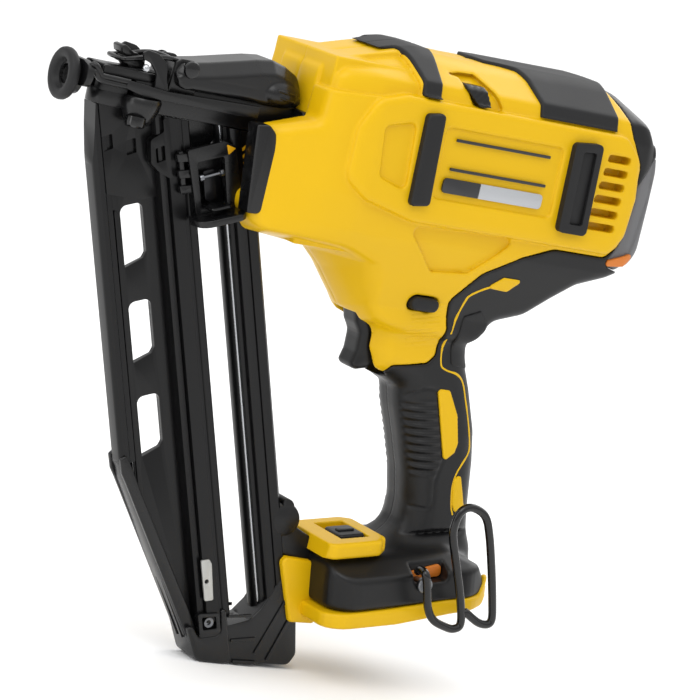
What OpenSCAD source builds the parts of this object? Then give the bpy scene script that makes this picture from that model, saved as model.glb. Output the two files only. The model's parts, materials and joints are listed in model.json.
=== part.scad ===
// Cordless angled brad nailer, bare tool without its battery.
// X runs rearwards, Z runs up, and the left side of the tool faces -Y.
// The origin is the point where the nail leaves the nose, on the firing axis.

/* [Magazine] */
// Lean of the magazine from square to the firing axis, in degrees
mag_angle = 20; // [18:0.5:22]
// Depth of the magazine from its front rail to its rear rail
mag_depth = 78; // [76:0.5:80]
// Gap that the nail strip slides in
strip_gap = 2.4; // [2.2:0.1:2.6]
// Travel of the pusher along the magazine
pusher_travel = 175; // [120:5:180]

/* [Casing] */
// Width of the casing over its flat sides
casing_w = 84; // [80:1:90]
// Wall of the casing
wall = 3; // [2:0.5:3.5]
// Height of the casing top above the firing axis
casing_top = 45.5; // [44:0.5:48]
// Rearmost point of the tool
casing_rear = 311; // [306:1:316]

/* [Handle and foot] */
// Lean of the handle, in degrees
handle_lean = 18; // [16:0.5:20]
// Half width of the handle core under its grip cover
handle_r = 15; // [14:0.5:16]
// Thickness of the soft grip cover
grip_t = 2; // [1.5:0.5:2.5]
// Rise of the foot towards the rear, in degrees
foot_rise = 10; // [8:0.5:12]
// Length of the foot
foot_l = 88; // [84:1:92]
// Width of the foot
foot_w = 76; // [72:1:80]
// Height of the foot with its skirt
foot_h = 26; // [24:1:28]

/* [Drive] */
// Stroke of the driver blade
stroke = 83; // [70:1:84]
// Outer radius of the flywheel
flywheel_r = 24; // [22:0.5:24]
// Radius of the motor shaft
shaft_r = 5; // [4:0.5:6]
// Running clearance of shafts and pins
run = 0.05; // [0.03:0.01:0.08]

/* [Nose] */
// Outer radius of the no-mar pad
pad_r = 11.3; // [10:0.1:12]
// Radius of the hole that the nail leaves through
exit_r = 4.5; // [4:0.1:5]
// Travel of the contact trip
trip_travel = 6; // [4:0.5:6]
// Radius of the bolts and of the magazine's screws
bolt_r = 2; // [1.5:0.25:2.5]

/* [Hidden] */
$fn = 48;

yellow = "#f2b90c";
black = "#2b2b2d";
grey = "#6d6e70";
steel = "#b9bcc0";
dark_steel = "#5d6064";
rubber = "#38393b";

half_w = casing_w / 2;
// Top front corner of the magazine, where its front rail meets the nose
mag_o = [14.4, 0, -10];
// Middle of the handle at the top of the grip
handle_o = [226, 0, -112];
// Front lower edge of the foot
foot_o = [186, 0, -228];
// Centres of the driver's parts in the XZ plane
flywheel_c = [215, 0, -4 - flywheel_r];
roller_c = [218, 0, 11.5];
pinch_c = [252, 0, 17];
latch_c = [57, 0, 13];
bail_c = [61, 0, 20];
door_c = [46, 0, 6.5];
bail_pin_r = 1.6;
pinch_pin_r = 3;
latch_pin_r = 2.5;
door_pin_r = 1.5;
// Guide rods of the driver, on each side of the firing axis
rod_y = 16.5;
rod_r = 3.5;
// Tip of the driver blade at rest, and where the blade meets its carriage
blade_x = stroke + 5;
carriage_x = 212;
// Back of the contact trip's yoke, and the round front of the nose behind it
yoke_x = 9.6;
nose_r = 9;
nose_x = yoke_x + trip_travel + 0.9 + nose_r;
// Flat bars of the contact trip
bar_y = 13.75;
bar_t = 2.5;
// Bolts between the nose and the drive frame
bolt_y = 14;
bolt_z = -18;
// Walls of the drive frame across the firing axis
front_wall = 122;
rear_wall = 286;
frame_t = 4;
bearing_r = 11;
// Plane where the rear cap starts, and where the underside cover starts
open_rear = 290;
under_x = 250;
under_z = -45;
// Screw posts of the casing: x, z and half length
screw_posts = [[135, -48, 27], [115, -36, 34], [170, -66, 22], [238, -68, 20]];
post_r = 4;
screw_r = 1.5;
// Slide of the trigger, and half its width
trigger_y = 9;
// Centre of the lock-off button
lock_x = 200;
lock_z = -73;
// Skirt of the foot, its walls and its battery mouth
skirt_h = 7.5;
mouth_x = 10;
mouth_w = 54;
rail_w = 62;
// Screw hole of the belt hook, along the foot and above its underside
hook_u = 47;
hook_w = 16.5;
// Lower end of the magazine's rails, far enough down for the pusher's travel
mag_l = pusher_travel + 83;
// Front and rear faces of the middle channel, front face of the rear rail
channel_u = [30, 52];
rail_u = 61;
// Half width of the rails
rail_y = 9;
// Screw that holds the magazine's end cap
cap_screw = [41, -5.5, -270];

// Side outline of the casing: x, z and the inward direction of each corner
casing_side = [
    [95, -6, 1, -0.4], [95, -44, 1, 0.4], [104, -55, 0.5, 1], [134, -55, 0.2, 1],
    [147, -62, 0.8, 0.7], [156, -74, 1, 0.4], [161, -88, 1, 1], [246, -88, -1, 1],
    [248, -76, -0.8, 0.8], [262, -70, -0.4, 1], [278, -57, -0.6, 1], [300, -44, -0.7, 1],
    [casing_rear, -34, -1, 0.5], [casing_rear, 14, -1, -0.4], [302, 28, -0.8, -0.6],
    [284, 40, -0.4, -1], [262, casing_top, -0.1, -1], [160, casing_top, 0.2, -1],
    [128, 32.5, 0.6, -1], [121, 22, 1, -0.4], [117, 8, 1, -0.6]
];
// Right half of the casing's section: y, z and the inward direction of each corner
casing_section = [
    [24, casing_top + 1, -0.4, -1], [38, 31, -1, -0.6], [half_w, 20, -1, -0.2],
    [half_w, -28, -1, 0.2], [36, -45, -1, 0.4], [24, -72, -1, 0.2], [22, -90, -1, 0]
];
// Right half of the casing's plan: x, y and the inward direction of each corner
casing_plan = [
    [90, 26, 1, -0.4], [100, 35, 0.4, -0.8], [128, half_w, 0.1, -1], [284, half_w, -0.1, -1],
    [300, 38, -0.5, -0.8], [casing_rear + 1, 26, -1, -0.4]
];

function inset(points, t) = [for (p = points) [p[0] + p[2] * t, p[1] + p[3] * t]];
function mirrored(points) =
    concat(points, [for (i = [len(points) - 1:-1:0]) [-points[i][0], points[i][1]]]);
function mirrored_y(points) =
    concat(points, [for (i = [len(points) - 1:-1:0]) [points[i][0], -points[i][1]]]);

// Extrudes an XZ outline from y0 to y1
module side(y0, y1) {
    translate([0, y1, 0]) rotate([90, 0, 0]) linear_extrude(y1 - y0) children();
}

// Extrudes a YZ outline from x0 to x1
module section(x0, x1) {
    translate([x0, 0, 0]) rotate([90, 0, 90]) linear_extrude(x1 - x0) children();
}

// A box from its low corner to its high corner
module block(low, high) {
    translate(low) cube(high - low);
}

// A round bar between two points on a line along Y
module y_bar(x, z, y0, y1, r) {
    translate([x, y1, z]) rotate([90, 0, 0]) cylinder(h = y1 - y0, r = r);
}

// A round bar along X
module x_bar(x0, x1, y, z, r) {
    translate([x0, y, z]) rotate([0, 90, 0]) cylinder(h = x1 - x0, r = r);
}

// Rounds a path by cutting its corners, a few times over
function cut_corners(p, times) = times == 0 ? p : cut_corners(concat([p[0]],
    [for (i = [1:len(p) - 2], s = [0.3, 0.7])
        s < 0.5 ? p[i] + (p[i - 1] - p[i]) * 0.3 : p[i] + (p[i + 1] - p[i]) * 0.3],
    [p[len(p) - 1]]), times - 1);
function unit(v) = v / norm(v);

// Round wire along a path of points
module wire(path, r, sides = 8) {
    p = cut_corners(path, 2);
    last = len(p) - 1;
    along = [for (i = [0:last]) unit(p[min(i + 1, last)] - p[max(i - 1, 0)])];
    start = unit(cross(along[0], [0.31, 0.52, 0.79]));
    // Each ring's first direction, turned as little as possible from the one before
    across = [for (i = 0, n = start; i <= last;
        i = i + 1, n = i > last ? n : unit(n - (n * along[i]) * along[i])) n];
    points = [
        for (i = [0:last]) for (k = [0:sides - 1])
            let (n = across[i], b = cross(along[i], n), a = 360 * k / sides)
            p[i] + r * (n * cos(a) + b * sin(a))
    ];
    walls = [
        for (i = [0:last - 1]) for (k = [0:sides - 1])
            let (n = (k + 1) % sides)
            [i * sides + n, i * sides + k, (i + 1) * sides + k, (i + 1) * sides + n]
    ];
    ends = [
        [for (k = [0:sides - 1]) k],
        [for (k = [sides - 1:-1:0]) last * sides + k]
    ];
    polyhedron(points, concat(walls, ends), convexity = 10);
}

// Rectangle with round corners, from its low corner to its high corner
module round_rect(low, high, r) {
    translate([low[0] + r, low[1]]) square([high[0] - low[0] - 2 * r, high[1] - low[1]]);
    translate([low[0], low[1] + r]) square([high[0] - low[0], high[1] - low[1] - 2 * r]);
    for (x = [low[0] + r, high[0] - r])
        for (y = [low[1] + r, high[1] - r])
            translate([x, y]) circle(r = r);
}

// Slot with round ends, along the first axis
module stadium(l, r) {
    square([l - 2 * r, 2 * r], center = true);
    for (s = [-1, 1])
        translate([s * (l / 2 - r), 0]) circle(r = r);
}

// Round wire wound along X, as one swept surface
module coil(x0, length, y, z, coil_r, wire_r, turns, steps = 10) {
    sides = 5;
    rings = turns * steps;
    points = [
        for (i = [0:rings]) for (k = [0:sides - 1])
            let (a = 360 * i / steps, b = 360 * k / sides, q = coil_r + wire_r * cos(b))
            [x0 + wire_r + (length - 2 * wire_r) * i / rings + wire_r * sin(b),
                y + q * cos(a), z + q * sin(a)]
    ];
    walls = [
        for (i = [0:rings - 1]) for (k = [0:sides - 1])
            let (n = (k + 1) % sides)
            [i * sides + k, i * sides + n, (i + 1) * sides + n, (i + 1) * sides + k]
    ];
    ends = [
        [for (k = [sides - 1:-1:0]) k],
        [for (k = [0:sides - 1]) rings * sides + k]
    ];
    polyhedron(points, concat(walls, ends), convexity = 10);
}

module on_magazine() {
    translate(mag_o) rotate([0, -mag_angle, 0]) children();
}

module on_handle() {
    translate(handle_o) rotate([0, -handle_lean, 0]) children();
}

module on_foot() {
    translate(foot_o) rotate([0, -foot_rise, 0]) children();
}

// ---- Casing ----

module casing_body(t) {
    intersection() {
        side(-60, 60) polygon(inset(casing_side, t));
        section(80, 320) polygon(mirrored(inset(casing_section, t)));
        translate([0, 0, -100]) linear_extrude(160) polygon(mirrored_y(inset(casing_plan, t)));
    }
}

module handle_core(r, low, high) {
    on_handle() translate([0, 0, low]) linear_extrude(high - low) stadium(2 * r + 10, r);
}

module foot_outline(grow) {
    round_rect([-grow, -foot_w / 2 - grow], [foot_l + grow, foot_w / 2 + grow], 14);
}

module foot_block() {
    on_foot() linear_extrude(foot_h) foot_outline(0);
}

module trigger_outline() {
    polygon([[176, -86.5], [178, -91], [181, -97], [180.5, -105], [181, -111], [184, -112.5],
        [190, -111], [194, -105], [197, -100], [209, -99], [209, -91], [198, -90],
        [197, -86.5]]);
}

module casing_openings() {
    // The magazine runs up through the front of the casing
    on_magazine() block([-40, -11, -120], [mag_depth + 1.5, 11, 60]);
    // Opening around the nose
    block([80, -22.5, -25], [front_wall - 0.5, 22.5, 60]);
    // Pocket that the trigger slides in
    block([160, -trigger_y - 1, -118], [213, trigger_y + 1, -84]);
    // Hole for the lock-off button
    side(-60, 60) translate([lock_x, lock_z]) stadium(19, 4.6);
    // Slot of the stall release on the upper left chamfer
    block([186, -39, 27], [208, -27, 41.5]);
    // Air vents on both sides and below the rear
    for (i = [0:5])
        block([262, -60, -23 + i * 6], [284, 60, -20 + i * 6]);
    // Windows of the motor bearings
    for (s = [-1, 1])
        y_bar(145, -46, s * 34 - 12, s * 34 + 12, 1.8);
}

module casing() {
    difference() {
        union() {
            intersection() {
                casing_body(0);
                block([80, -60, -100], [open_rear, 60, 60]);
            }
            handle_core(handle_r, -96, 26);
        }
        casing_body(wall);
        handle_core(handle_r - 2.5, -100, 30);
        casing_openings();
        foot_block();
        // The lower rear corner belongs to the underside cover
        block([under_x, -60, -80], [320, 60, under_z]);
    }
    // Screw posts from wall to wall, drilled for the casing screws
    difference() {
        intersection() {
            casing_body(1);
            for (p = screw_posts)
                y_bar(p[0], p[1], -60, 60, post_r);
        }
        for (p = screw_posts)
            y_bar(p[0], p[1], -60, 60, screw_r);
    }
}

module housing_left() {
    color(yellow) intersection() {
        casing();
        block([60, -70, -260], [340, 0, 80]);
    }
}

module housing_right() {
    color(yellow) intersection() {
        casing();
        block([60, 0, -260], [340, 70, 80]);
    }
}

module rear_cap() {
    color(grey) difference() {
        intersection() {
            casing_body(0);
            block([open_rear, -60, under_z], [320, 60, 60]);
        }
        casing_body(wall);
        for (i = [0:4])
            block([300, -20 + i * 9, -20], [320, -16 + i * 9, 16]);
    }
}

module rear_underside_cover() {
    color(black) difference() {
        intersection() {
            casing_body(0);
            block([under_x, -60, -80], [320, 60, under_z]);
        }
        casing_body(wall);
    }
}

// Rubber saddle over the top of the casing between two planes across X
module saddle(x0, x1, lean) {
    difference() {
        intersection() {
            casing_body(-3);
            side(-60, 60) polygon([[x0, 60], [x1, 60], [x1 - lean, 22], [x0 + lean, 22]]);
        }
        casing_body(0);
    }
}

module top_bumper_front() {
    color(rubber) saddle(143, 184, 3);
}

module top_bumper_rear() {
    color(rubber) saddle(213, 280, 4);
}

module side_bumpers() {
    color(rubber)
        for (s = [-1, 1])
            for (x = [171, 257])
                translate([0, s * (half_w + 2), 0]) side(-2, 2)
                    translate([x, -5]) rotate(88) stadium(42, 5.5);
}

module side_plates() {
    color(steel)
        for (s = [-1, 1])
            translate([0, s * (half_w + 0.4), 0]) side(-0.4, 0.4)
                round_rect([180, -21], [247, 9], 2);
}

module front_cover() {
    color(black) difference() {
        block([88, -24, -44], [94.5, 24, -7]);
        on_magazine() block([-40, -10, -120], [mag_depth + 0.8, 10, 60]);
        block([80, -22.6, -12], [100, 22.6, 0]);
        // Room for the pusher at the top of its travel
        block([80, -14.5, -50], [100, 0, -22]);
    }
}

module grip_ring(r0, r1) {
    difference() {
        handle_core(r1, -96, 8);
        handle_core(r0, -100, 12);
        block([160, -trigger_y - 1.5, -118], [213, trigger_y + 1.5, -84]);
        foot_block();
    }
}

module grip_cover_left() {
    color(black) intersection() {
        grip_ring(handle_r, handle_r + grip_t);
        block([150, -50, -260], [320, 0, -60]);
    }
}

module grip_cover_right() {
    color(black) intersection() {
        grip_ring(handle_r, handle_r + grip_t);
        block([150, 0, -260], [320, 50, -60]);
    }
}

// ---- Foot ----

module foot_shell() {
    difference() {
        on_foot() translate([0, 0, skirt_h]) linear_extrude(foot_h - skirt_h) foot_outline(0);
        on_foot() translate([wall, -foot_w / 2 + wall, 0])
            cube([foot_l - 2 * wall, foot_w - 2 * wall, foot_h - wall]);
        handle_core(handle_r - 2.5, -100, 0);
        // Threaded hole of the belt hook, on each side
        on_foot() y_bar(hook_u, hook_w, -60, 60, bolt_r);
    }
}

module foot_left() {
    color(black) intersection() {
        foot_shell();
        block([150, -60, -260], [320, 0, -150]);
    }
    color(black) on_foot() difference() {
        y_bar(hook_u, hook_w, -foot_w / 2 + wall, -26, 5);
        y_bar(hook_u, hook_w, -60, 0, bolt_r);
    }
}

module foot_right() {
    color(black) intersection() {
        foot_shell();
        block([150, 0, -260], [320, 60, -150]);
    }
    color(black) on_foot() difference() {
        y_bar(hook_u, hook_w, 26, foot_w / 2 - wall, 5);
        y_bar(hook_u, hook_w, 0, 60, bolt_r);
    }
}

module foot_skirt() {
    color(yellow) on_foot() difference() {
        linear_extrude(skirt_h) foot_outline(0);
        // Mouth that the battery slides into from the rear
        translate([mouth_x, -mouth_w / 2, -1]) cube([foot_l, mouth_w, skirt_h + 2]);
        // Undercuts that the battery's rails run in
        translate([mouth_x, -rail_w / 2, 3]) cube([foot_l, rail_w, skirt_h]);
    }
}

module mode_block() {
    color(yellow) on_foot() difference() {
        translate([0, 0, foot_h]) linear_extrude(9) round_rect([1, -32], [36, 13], 5);
        translate([10.5, -20.5, foot_h + 5]) cube([15, 26, 10]);
    }
}

module mode_button() {
    color(black) on_foot() translate([11, -18, foot_h + 5.1])
        linear_extrude(6) round_rect([0, 0], [14, 16], 2);
}

module terminal_block() {
    color(dark_steel) on_foot() {
        translate([16, -22, 9]) cube([16, 44, 7]);
        for (y = [-18:9:18])
            translate([32, y - 0.6, 9]) cube([22, 1.2, 5]);
    }
}

module control_module() {
    color(dark_steel) on_foot() translate([14, -24, 16.2]) cube([26, 48, 6]);
}

module belt_hook() {
    r = 2;
    y = -foot_w / 2 - 11;
    path = [
        [221.5, -foot_w / 2 - r - 0.1, -201.5], [224, y, -206], [229, y, -212], [244, y, -220],
        [250, y, -221], [244, y, -204], [235, y, -182], [231, y, -164], [247, y, -162],
        [253, y, -178], [262, y, -196], [266, y, -213], [263, y, -217]
    ];
    color(black) wire(path, r);
}

module belt_hook_screw() {
    color(steel) on_foot() {
        y_bar(hook_u, hook_w, -foot_w / 2 - 2.5, -foot_w / 2, 4);
        y_bar(hook_u, hook_w, -foot_w / 2, -28, bolt_r);
    }
}

// ---- Controls ----

module trigger() {
    color(black) side(-trigger_y, trigger_y) trigger_outline();
}

module trigger_spring() {
    color(steel) coil(209.2, 7.6, 0, -95, 3, 0.6, 4);
}

module trigger_switch() {
    color(dark_steel) difference() {
        on_handle() translate([-8, -7.5, -6]) cube([18, 15, 28]);
        block([190, -12, -120], [217, 12, -84]);
    }
}

module lock_off_button() {
    color(black) side(-28, 28) translate([lock_x, lock_z]) stadium(18, 4.1);
}

module stall_release() {
    color(black) {
        translate([188, -34, 33]) rotate([45, 0, 0]) translate([0, -4, -4]) cube([8, 8, 10]);
    }
}

// ---- Drive ----

module drive_frame() {
    color(grey) difference() {
        intersection() {
            block([front_wall, -27, -54], [rear_wall, 27, 32]);
            casing_body(wall);
        }
        block([front_wall + 6, frame_t - 27, -60], [rear_wall - 5, 27 - frame_t, 40]);
        // Openings that lighten the side plates
        for (s = [-1, 1]) {
            y_bar(160, -30, s * 25 - 4, s * 25 + 4, 13);
            y_bar(262, -30, s * 25 - 4, s * 25 + 4, 13);
        }
        y_bar(flywheel_c[0], flywheel_c[2], -30, 30, bearing_r);
        y_bar(pinch_c[0], pinch_c[2], -30, 30, pinch_pin_r);
        for (s = [-1, 1])
            x_bar(front_wall - 1, rear_wall + 1, s * rod_y, 0, rod_r);
        // Passage of the driver blade
        block([front_wall - 1, -2, -2.4], [front_wall + 10, 2, 2.4]);
        for (s = [-1, 1])
            x_bar(front_wall - 1, front_wall + 8, s * bolt_y, bolt_z, bolt_r);
        // Passages of the screw posts
        y_bar(screw_posts[0][0], screw_posts[0][1], -30, 30, post_r + 0.6);
    }
}

module guide_rods() {
    color(steel)
        for (s = [-1, 1])
            x_bar(front_wall, rear_wall, s * rod_y, 0, rod_r);
}

module return_springs() {
    color(dark_steel)
        for (s = [-1, 1])
            coil(137.3, 82, s * rod_y, 0, 5.2, 0.7, 11, 8);
}

module stop_bumpers() {
    color(rubber)
        for (s = [-1, 1])
            difference() {
                x_bar(front_wall + 6, 137, s * rod_y, 0, 6);
                x_bar(front_wall, 140, s * rod_y, 0, rod_r);
            }
}

module driver_carriage() {
    color(steel) difference() {
        union() {
            block([carriage_x, -7, -3.4], [277, 7, 3.4]);
            block([220.5, -22, -3.4], [232, 22, 3.4]);
            for (s = [-1, 1])
                block([220.5, s * 17.3 - 4.8, -5.2], [232, s * 17.3 + 4.8, 5.2]);
        }
        for (s = [-1, 1])
            x_bar(200, 240, s * rod_y, 0, rod_r + run);
        block([233, -4, 0], [272, 4, 5]);
    }
}

module driver_blade() {
    color(steel) block([blade_x, -1.2, -1.6], [carriage_x, 1.2, 1.6]);
}

module flywheel() {
    color(dark_steel) translate(flywheel_c) rotate([90, 0, 0]) difference() {
        translate([0, 0, -10]) cylinder(h = 19, r = flywheel_r);
        translate([0, 0, -8]) cylinder(h = 20, r = flywheel_r - 4);
        translate([0, 0, -12]) cylinder(h = 30, r = shaft_r);
    }
}

module motor_shaft() {
    color(steel) y_bar(flywheel_c[0], flywheel_c[2], -27, 27, shaft_r);
}

module motor_bearings() {
    color(steel)
        for (s = [-1, 1])
            difference() {
                y_bar(flywheel_c[0], flywheel_c[2], s * 25 - 2, s * 25 + 2, bearing_r);
                y_bar(flywheel_c[0], flywheel_c[2], -30, 30, shaft_r + run);
            }
}

module motor_stator() {
    color("#b87333") translate(flywheel_c) rotate([90, 0, 0]) difference() {
        union() {
            translate([0, 0, -6]) linear_extrude(14) {
                circle(r = 11);
                for (i = [0:8])
                    rotate(i * 40) polygon([[8, -2.5], [15.5, -2.5], [16, -4], [18.4, -4],
                        [18.4, 4], [16, 4], [15.5, 2.5], [8, 2.5]]);
            }
            translate([0, 0, 8]) cylinder(h = 15, r = 10);
        }
        translate([0, 0, -10]) cylinder(h = 40, r = shaft_r + 1.5);
    }
}

module cooling_fan() {
    color(black) translate(flywheel_c) rotate([90, 0, 0]) difference() {
        union() {
            translate([0, 0, -21]) cylinder(h = 2, r = 20);
            translate([0, 0, -21]) cylinder(h = 9, r = 8);
            for (i = [0:10])
                rotate(i * 360 / 11) translate([7, -0.8, -20]) cube([12, 1.6, 7]);
        }
        translate([0, 0, -24]) cylinder(h = 20, r = shaft_r);
    }
}

module pinch_arm() {
    color(steel) difference() {
        union() {
            for (s = [-1, 1]) {
                side(s * 8.5 - 1.5, s * 8.5 + 1.5)
                    polygon([[212, 7], [224, 6.5], [250, 9], [259, 12], [259, 22], [250, 25],
                        [224, 20], [212, 17]]);
            }
            y_bar(roller_c[0], roller_c[2], -8, 8, pinch_pin_r);
            block([240, -8, 14], [246, 8, 20]);
            y_bar(pinch_c[0], pinch_c[2], -10, 10, 5.5);
        }
        y_bar(pinch_c[0], pinch_c[2], -30, 30, pinch_pin_r + run);
    }
}

module pinch_pivot_pin() {
    color(steel) y_bar(pinch_c[0], pinch_c[2], -27, 27, pinch_pin_r);
}

module pinch_roller() {
    color(dark_steel) difference() {
        y_bar(roller_c[0], roller_c[2], -6.5, 6.5, 7);
        y_bar(roller_c[0], roller_c[2], -10, 10, pinch_pin_r + run);
    }
}

module solenoid() {
    color("#b87333") {
        block([150, -11, 9], [196, 11, 31]);
        x_bar(196, 204, 0, 20, 4);
    }
}

module casing_screws() {
    color(steel)
        for (p = screw_posts)
            y_bar(p[0], p[1], -p[2], p[2], screw_r);
}

// ---- Nose ----

module nose_body() {
    color(black) difference() {
        union() {
            block([nose_x - 0.5, -nose_r, -10], [front_wall, nose_r, 4]);
            translate([nose_x, 0, -10]) cylinder(h = 14, r = nose_r);
            // Flange that bolts to the drive frame
            block([front_wall - 6, -20, -24], [front_wall, 20, 4]);
            // Ears of the jam-clearing latch
            for (s = [-1, 1])
                side(s * 9.5 - 1.5, s * 9.5 + 1.5)
                    polygon([[50, 0], [64, 0], [63, 15], [60, 16.8], [54, 16.8], [51, 15]]);
            // Boss of the magazine screw
            translate([38, -11, -13]) cylinder(h = 9.6, r1 = 3, r2 = 6);
        }
        // Drive channel and the slot that the nails rise through
        block([0, -1.8, -2.2], [front_wall + 1, 1.8, 2.2]);
        block([20, -strip_gap / 2, -11], [86, strip_gap / 2, 0]);
        // Ears are open between them down to the channel roof
        block([12, -10, 4], [48.6, 10, 20]);
        y_bar(latch_c[0], latch_c[2], -12, 12, latch_pin_r);
        // Passage of the pusher's tongue at the top of its travel
        on_magazine() block([18, -strip_gap / 2, -60], [60, strip_gap / 2, 6]);
        for (s = [-1, 1])
            x_bar(front_wall - 10, front_wall + 1, s * bolt_y, bolt_z, bolt_r);
        // The bar of the contact trip slides past the flange
        for (s = [-1, 1])
            block([front_wall - 8, s * bar_y - 1.8, -3.6], [front_wall + 1, s * bar_y + 1.8, 4.1]);
    }
    // Bearers of the door hinge
    color(black)
        for (s = [-1, 1])
            difference() {
                block([43, s * 8 - 1, 4], [48.6, s * 8 + 1, 9]);
                y_bar(door_c[0], door_c[2], -12, 12, door_pin_r);
            }
}

module nose_screws() {
    color(steel)
        for (s = [-1, 1]) {
            x_bar(front_wall - 6, front_wall + 6, s * bolt_y, bolt_z, bolt_r);
            x_bar(front_wall - 10, front_wall - 6, s * bolt_y, bolt_z, bolt_r + 1.5);
        }
}

module nose_door() {
    color(black) difference() {
        union() {
            block([17.6, -6.8, 4.1], [46, 6.8, 8]);
            y_bar(door_c[0], door_c[2], -6.8, 6.8, 2.4);
            side(-5, 5) polygon([[22, 7], [24, 17], [21.5, 19], [27, 19.5], [32, 15], [38, 8],
                [38, 7]]);
        }
        y_bar(door_c[0], door_c[2], -10, 10, door_pin_r + run);
    }
}

module door_pin() {
    color(steel) y_bar(door_c[0], door_c[2], -9, 9, door_pin_r);
}

module latch_pin() {
    color(steel) y_bar(latch_c[0], latch_c[2], -15.6, 15.6, latch_pin_r);
}

module jam_latch() {
    color(black) difference() {
        union() {
            for (s = [-1, 1])
                side(s * 13.1 - 1.5, s * 13.1 + 1.5)
                    polygon([[52, 5.5], [55, 4], [108, 4], [114, 6], [118, 12], [115, 20], [104, 24],
                        [94, 26], [60, 24], [53, 20], [50.5, 12]]);
            side(-14.6, 14.6)
                polygon([[72, 24.8], [94, 26], [104, 24], [115, 20], [118, 12], [114, 6],
                    [111, 10], [113, 14], [110, 17], [102, 20.5], [93, 22.5], [72, 21.5]]);
        }
        y_bar(latch_c[0], latch_c[2], -20, 20, latch_pin_r + run);
        y_bar(bail_c[0], bail_c[2], -20, 20, bail_pin_r + run);
    }
}

module latch_bail() {
    r = 1.2;
    front_x = 18.5;
    arm = [[bail_c[0], 11, bail_c[2]], [bail_c[0] - 3, 9.5, bail_c[2]],
        [48, 9, 21.5], [front_x, 8.5, 14.2]];
    across = [for (i = [3:-1:0]) [arm[i][0], -arm[i][1], arm[i][2]]];
    color(steel) {
        wire(concat(arm, across), r);
        // Ends that turn in the lever
        for (s = [-1, 1])
            y_bar(bail_c[0], bail_c[2], s * 12.5 - 2.1, s * 12.5 + 2.1, bail_pin_r);
    }
}

module contact_trip() {
    color(black) {
        // Flat bars riveted to the yoke: a long one on the left, a short one on the right
        for (b = [[-bar_y, 92], [bar_y, 60]])
            side(b[0] - bar_t / 2, b[0] + bar_t / 2)
                polygon([[yoke_x, 1.5], [yoke_x, 6], [12, 5.5], [16, 2], [b[1], 2], [b[1], -3],
                    [14, -3]]);
        // Yoke that carries the pad
        difference() {
            section(6, yoke_x - 0.02) {
                round_rect([-15, -5], [15, 6], 3);
                circle(r = 8.5);
            }
            x_bar(0, 20, 0, 0, exit_r);
        }
        difference() {
            x_bar(3, yoke_x - 0.02, 0, 0, 7);
            x_bar(0, 20, 0, 0, exit_r);
        }
    }
}

module no_mar_pad() {
    color(rubber) rotate([0, 90, 0]) rotate_extrude($fn = 64)
        polygon([[exit_r, 2.9], [exit_r, 0], [pad_r - 1.5, 0], [pad_r, 1.6], [pad_r, 4.4],
            [pad_r - 1.4, 6], [7, 6], [7, 2.9]]);
}

module trip_spring() {
    color(steel) coil(60.2, front_wall - 6.4 - 60.2, bar_y, 0, 1.2, 0.4, 10, 8);
}

// ---- Magazine ----

// Keeps only what lies below the nose and above the slanted end of the magazine
module magazine_cut() {
    intersection() {
        children();
        block([0, -40, -300], [260, 40, -10]);
        on_magazine() side(-40, 40)
            polygon([[-5, 60], [-5, -150], [0, -168], [24, -258], [28, -262], [50, -262],
                [79, -245.8], [90, -240], [90, 60]]);
    }
}

module magazine_front_rail() {
    color(black) magazine_cut() on_magazine() difference() {
        translate([0, 0, -270]) linear_extrude(290) round_rect([0, -5.5], [8, 5.5], 2.5);
        block([4, -strip_gap / 2, -280], [9, strip_gap / 2, 30]);
    }
}

module magazine_side_plates() {
    color(black) magazine_cut() on_magazine()
        for (s = [-1, 1])
            difference() {
                block([8, s * 2.2 - 1, -mag_l], [channel_u[0], s * 2.2 + 1, 20]);
                // Windows that show how many nails are left
                for (w = [-64.5, -109, -153.5])
                    side(-10, 10) translate([16, w]) rotate(90) stadium(28, 5.8);
                for (u = [12, 22])
                    block([u - 2, -10, -36], [u + 2, 10, -31]);
            }
}

module magazine_channel() {
    color(dark_steel) magazine_cut() on_magazine() difference() {
        block([channel_u[0], -rail_y, -mag_l], [channel_u[1], rail_y, 30]);
        block([channel_u[0] - 1, -strip_gap / 2, -280], [channel_u[1] + 1, strip_gap / 2, 40]);
        // Flutes of the aluminium profile
        for (s = [-1, 1])
            block([channel_u[0] + 5, s * 8.2 - 1, -280], [channel_u[0] + 9, s * 8.2 + 1, 40]);
        for (s = [-1, 1])
            block([channel_u[0] + 13, s * 8.2 - 1, -280], [channel_u[0] + 19, s * 8.2 + 1, 40]);
        translate(cap_screw) cylinder(h = 20, r = screw_r);
    }
}

module magazine_rear_rail() {
    color(black) magazine_cut() on_magazine() difference() {
        block([rail_u, -rail_y, -mag_l], [mag_depth, rail_y, 60]);
        block([rail_u - 1, -3, -280], [rail_u + 4, 3, 70]);
        for (s = [-1, 1])
            block([rail_u + 6, s * rail_y - 1.5, -280], [rail_u + 12, s * rail_y + 1.5, 70]);
    }
}

module magazine_end_cap() {
    color(black) on_magazine() difference() {
        side(-10, 10)
            polygon([[-1.5, -150], [-2.5, -170], [21.5, -262], [26, -273], [36, -278], [73, -290],
                [78, -289.5], [80, -284], [80, -247], [50, -262.2], [28, -262.2],
                [24, -258.2], [0, -168.2], [0, -152]]);
        // Openings of the ribbed end
        for (s = [-1, 1])
            side(s * 8 - 4, s * 8 + 4)
                polygon([[60, -284], [74, -286], [75, -264]]);
        translate(cap_screw) cylinder(h = 20, r = screw_r);
    }
}

module magazine_screws() {
    color(steel) {
        translate([38, -11, -15]) cylinder(h = 2, r = 2.6);
        on_magazine() translate(cap_screw) cylinder(h = 18, r = screw_r);
    }
}

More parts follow.
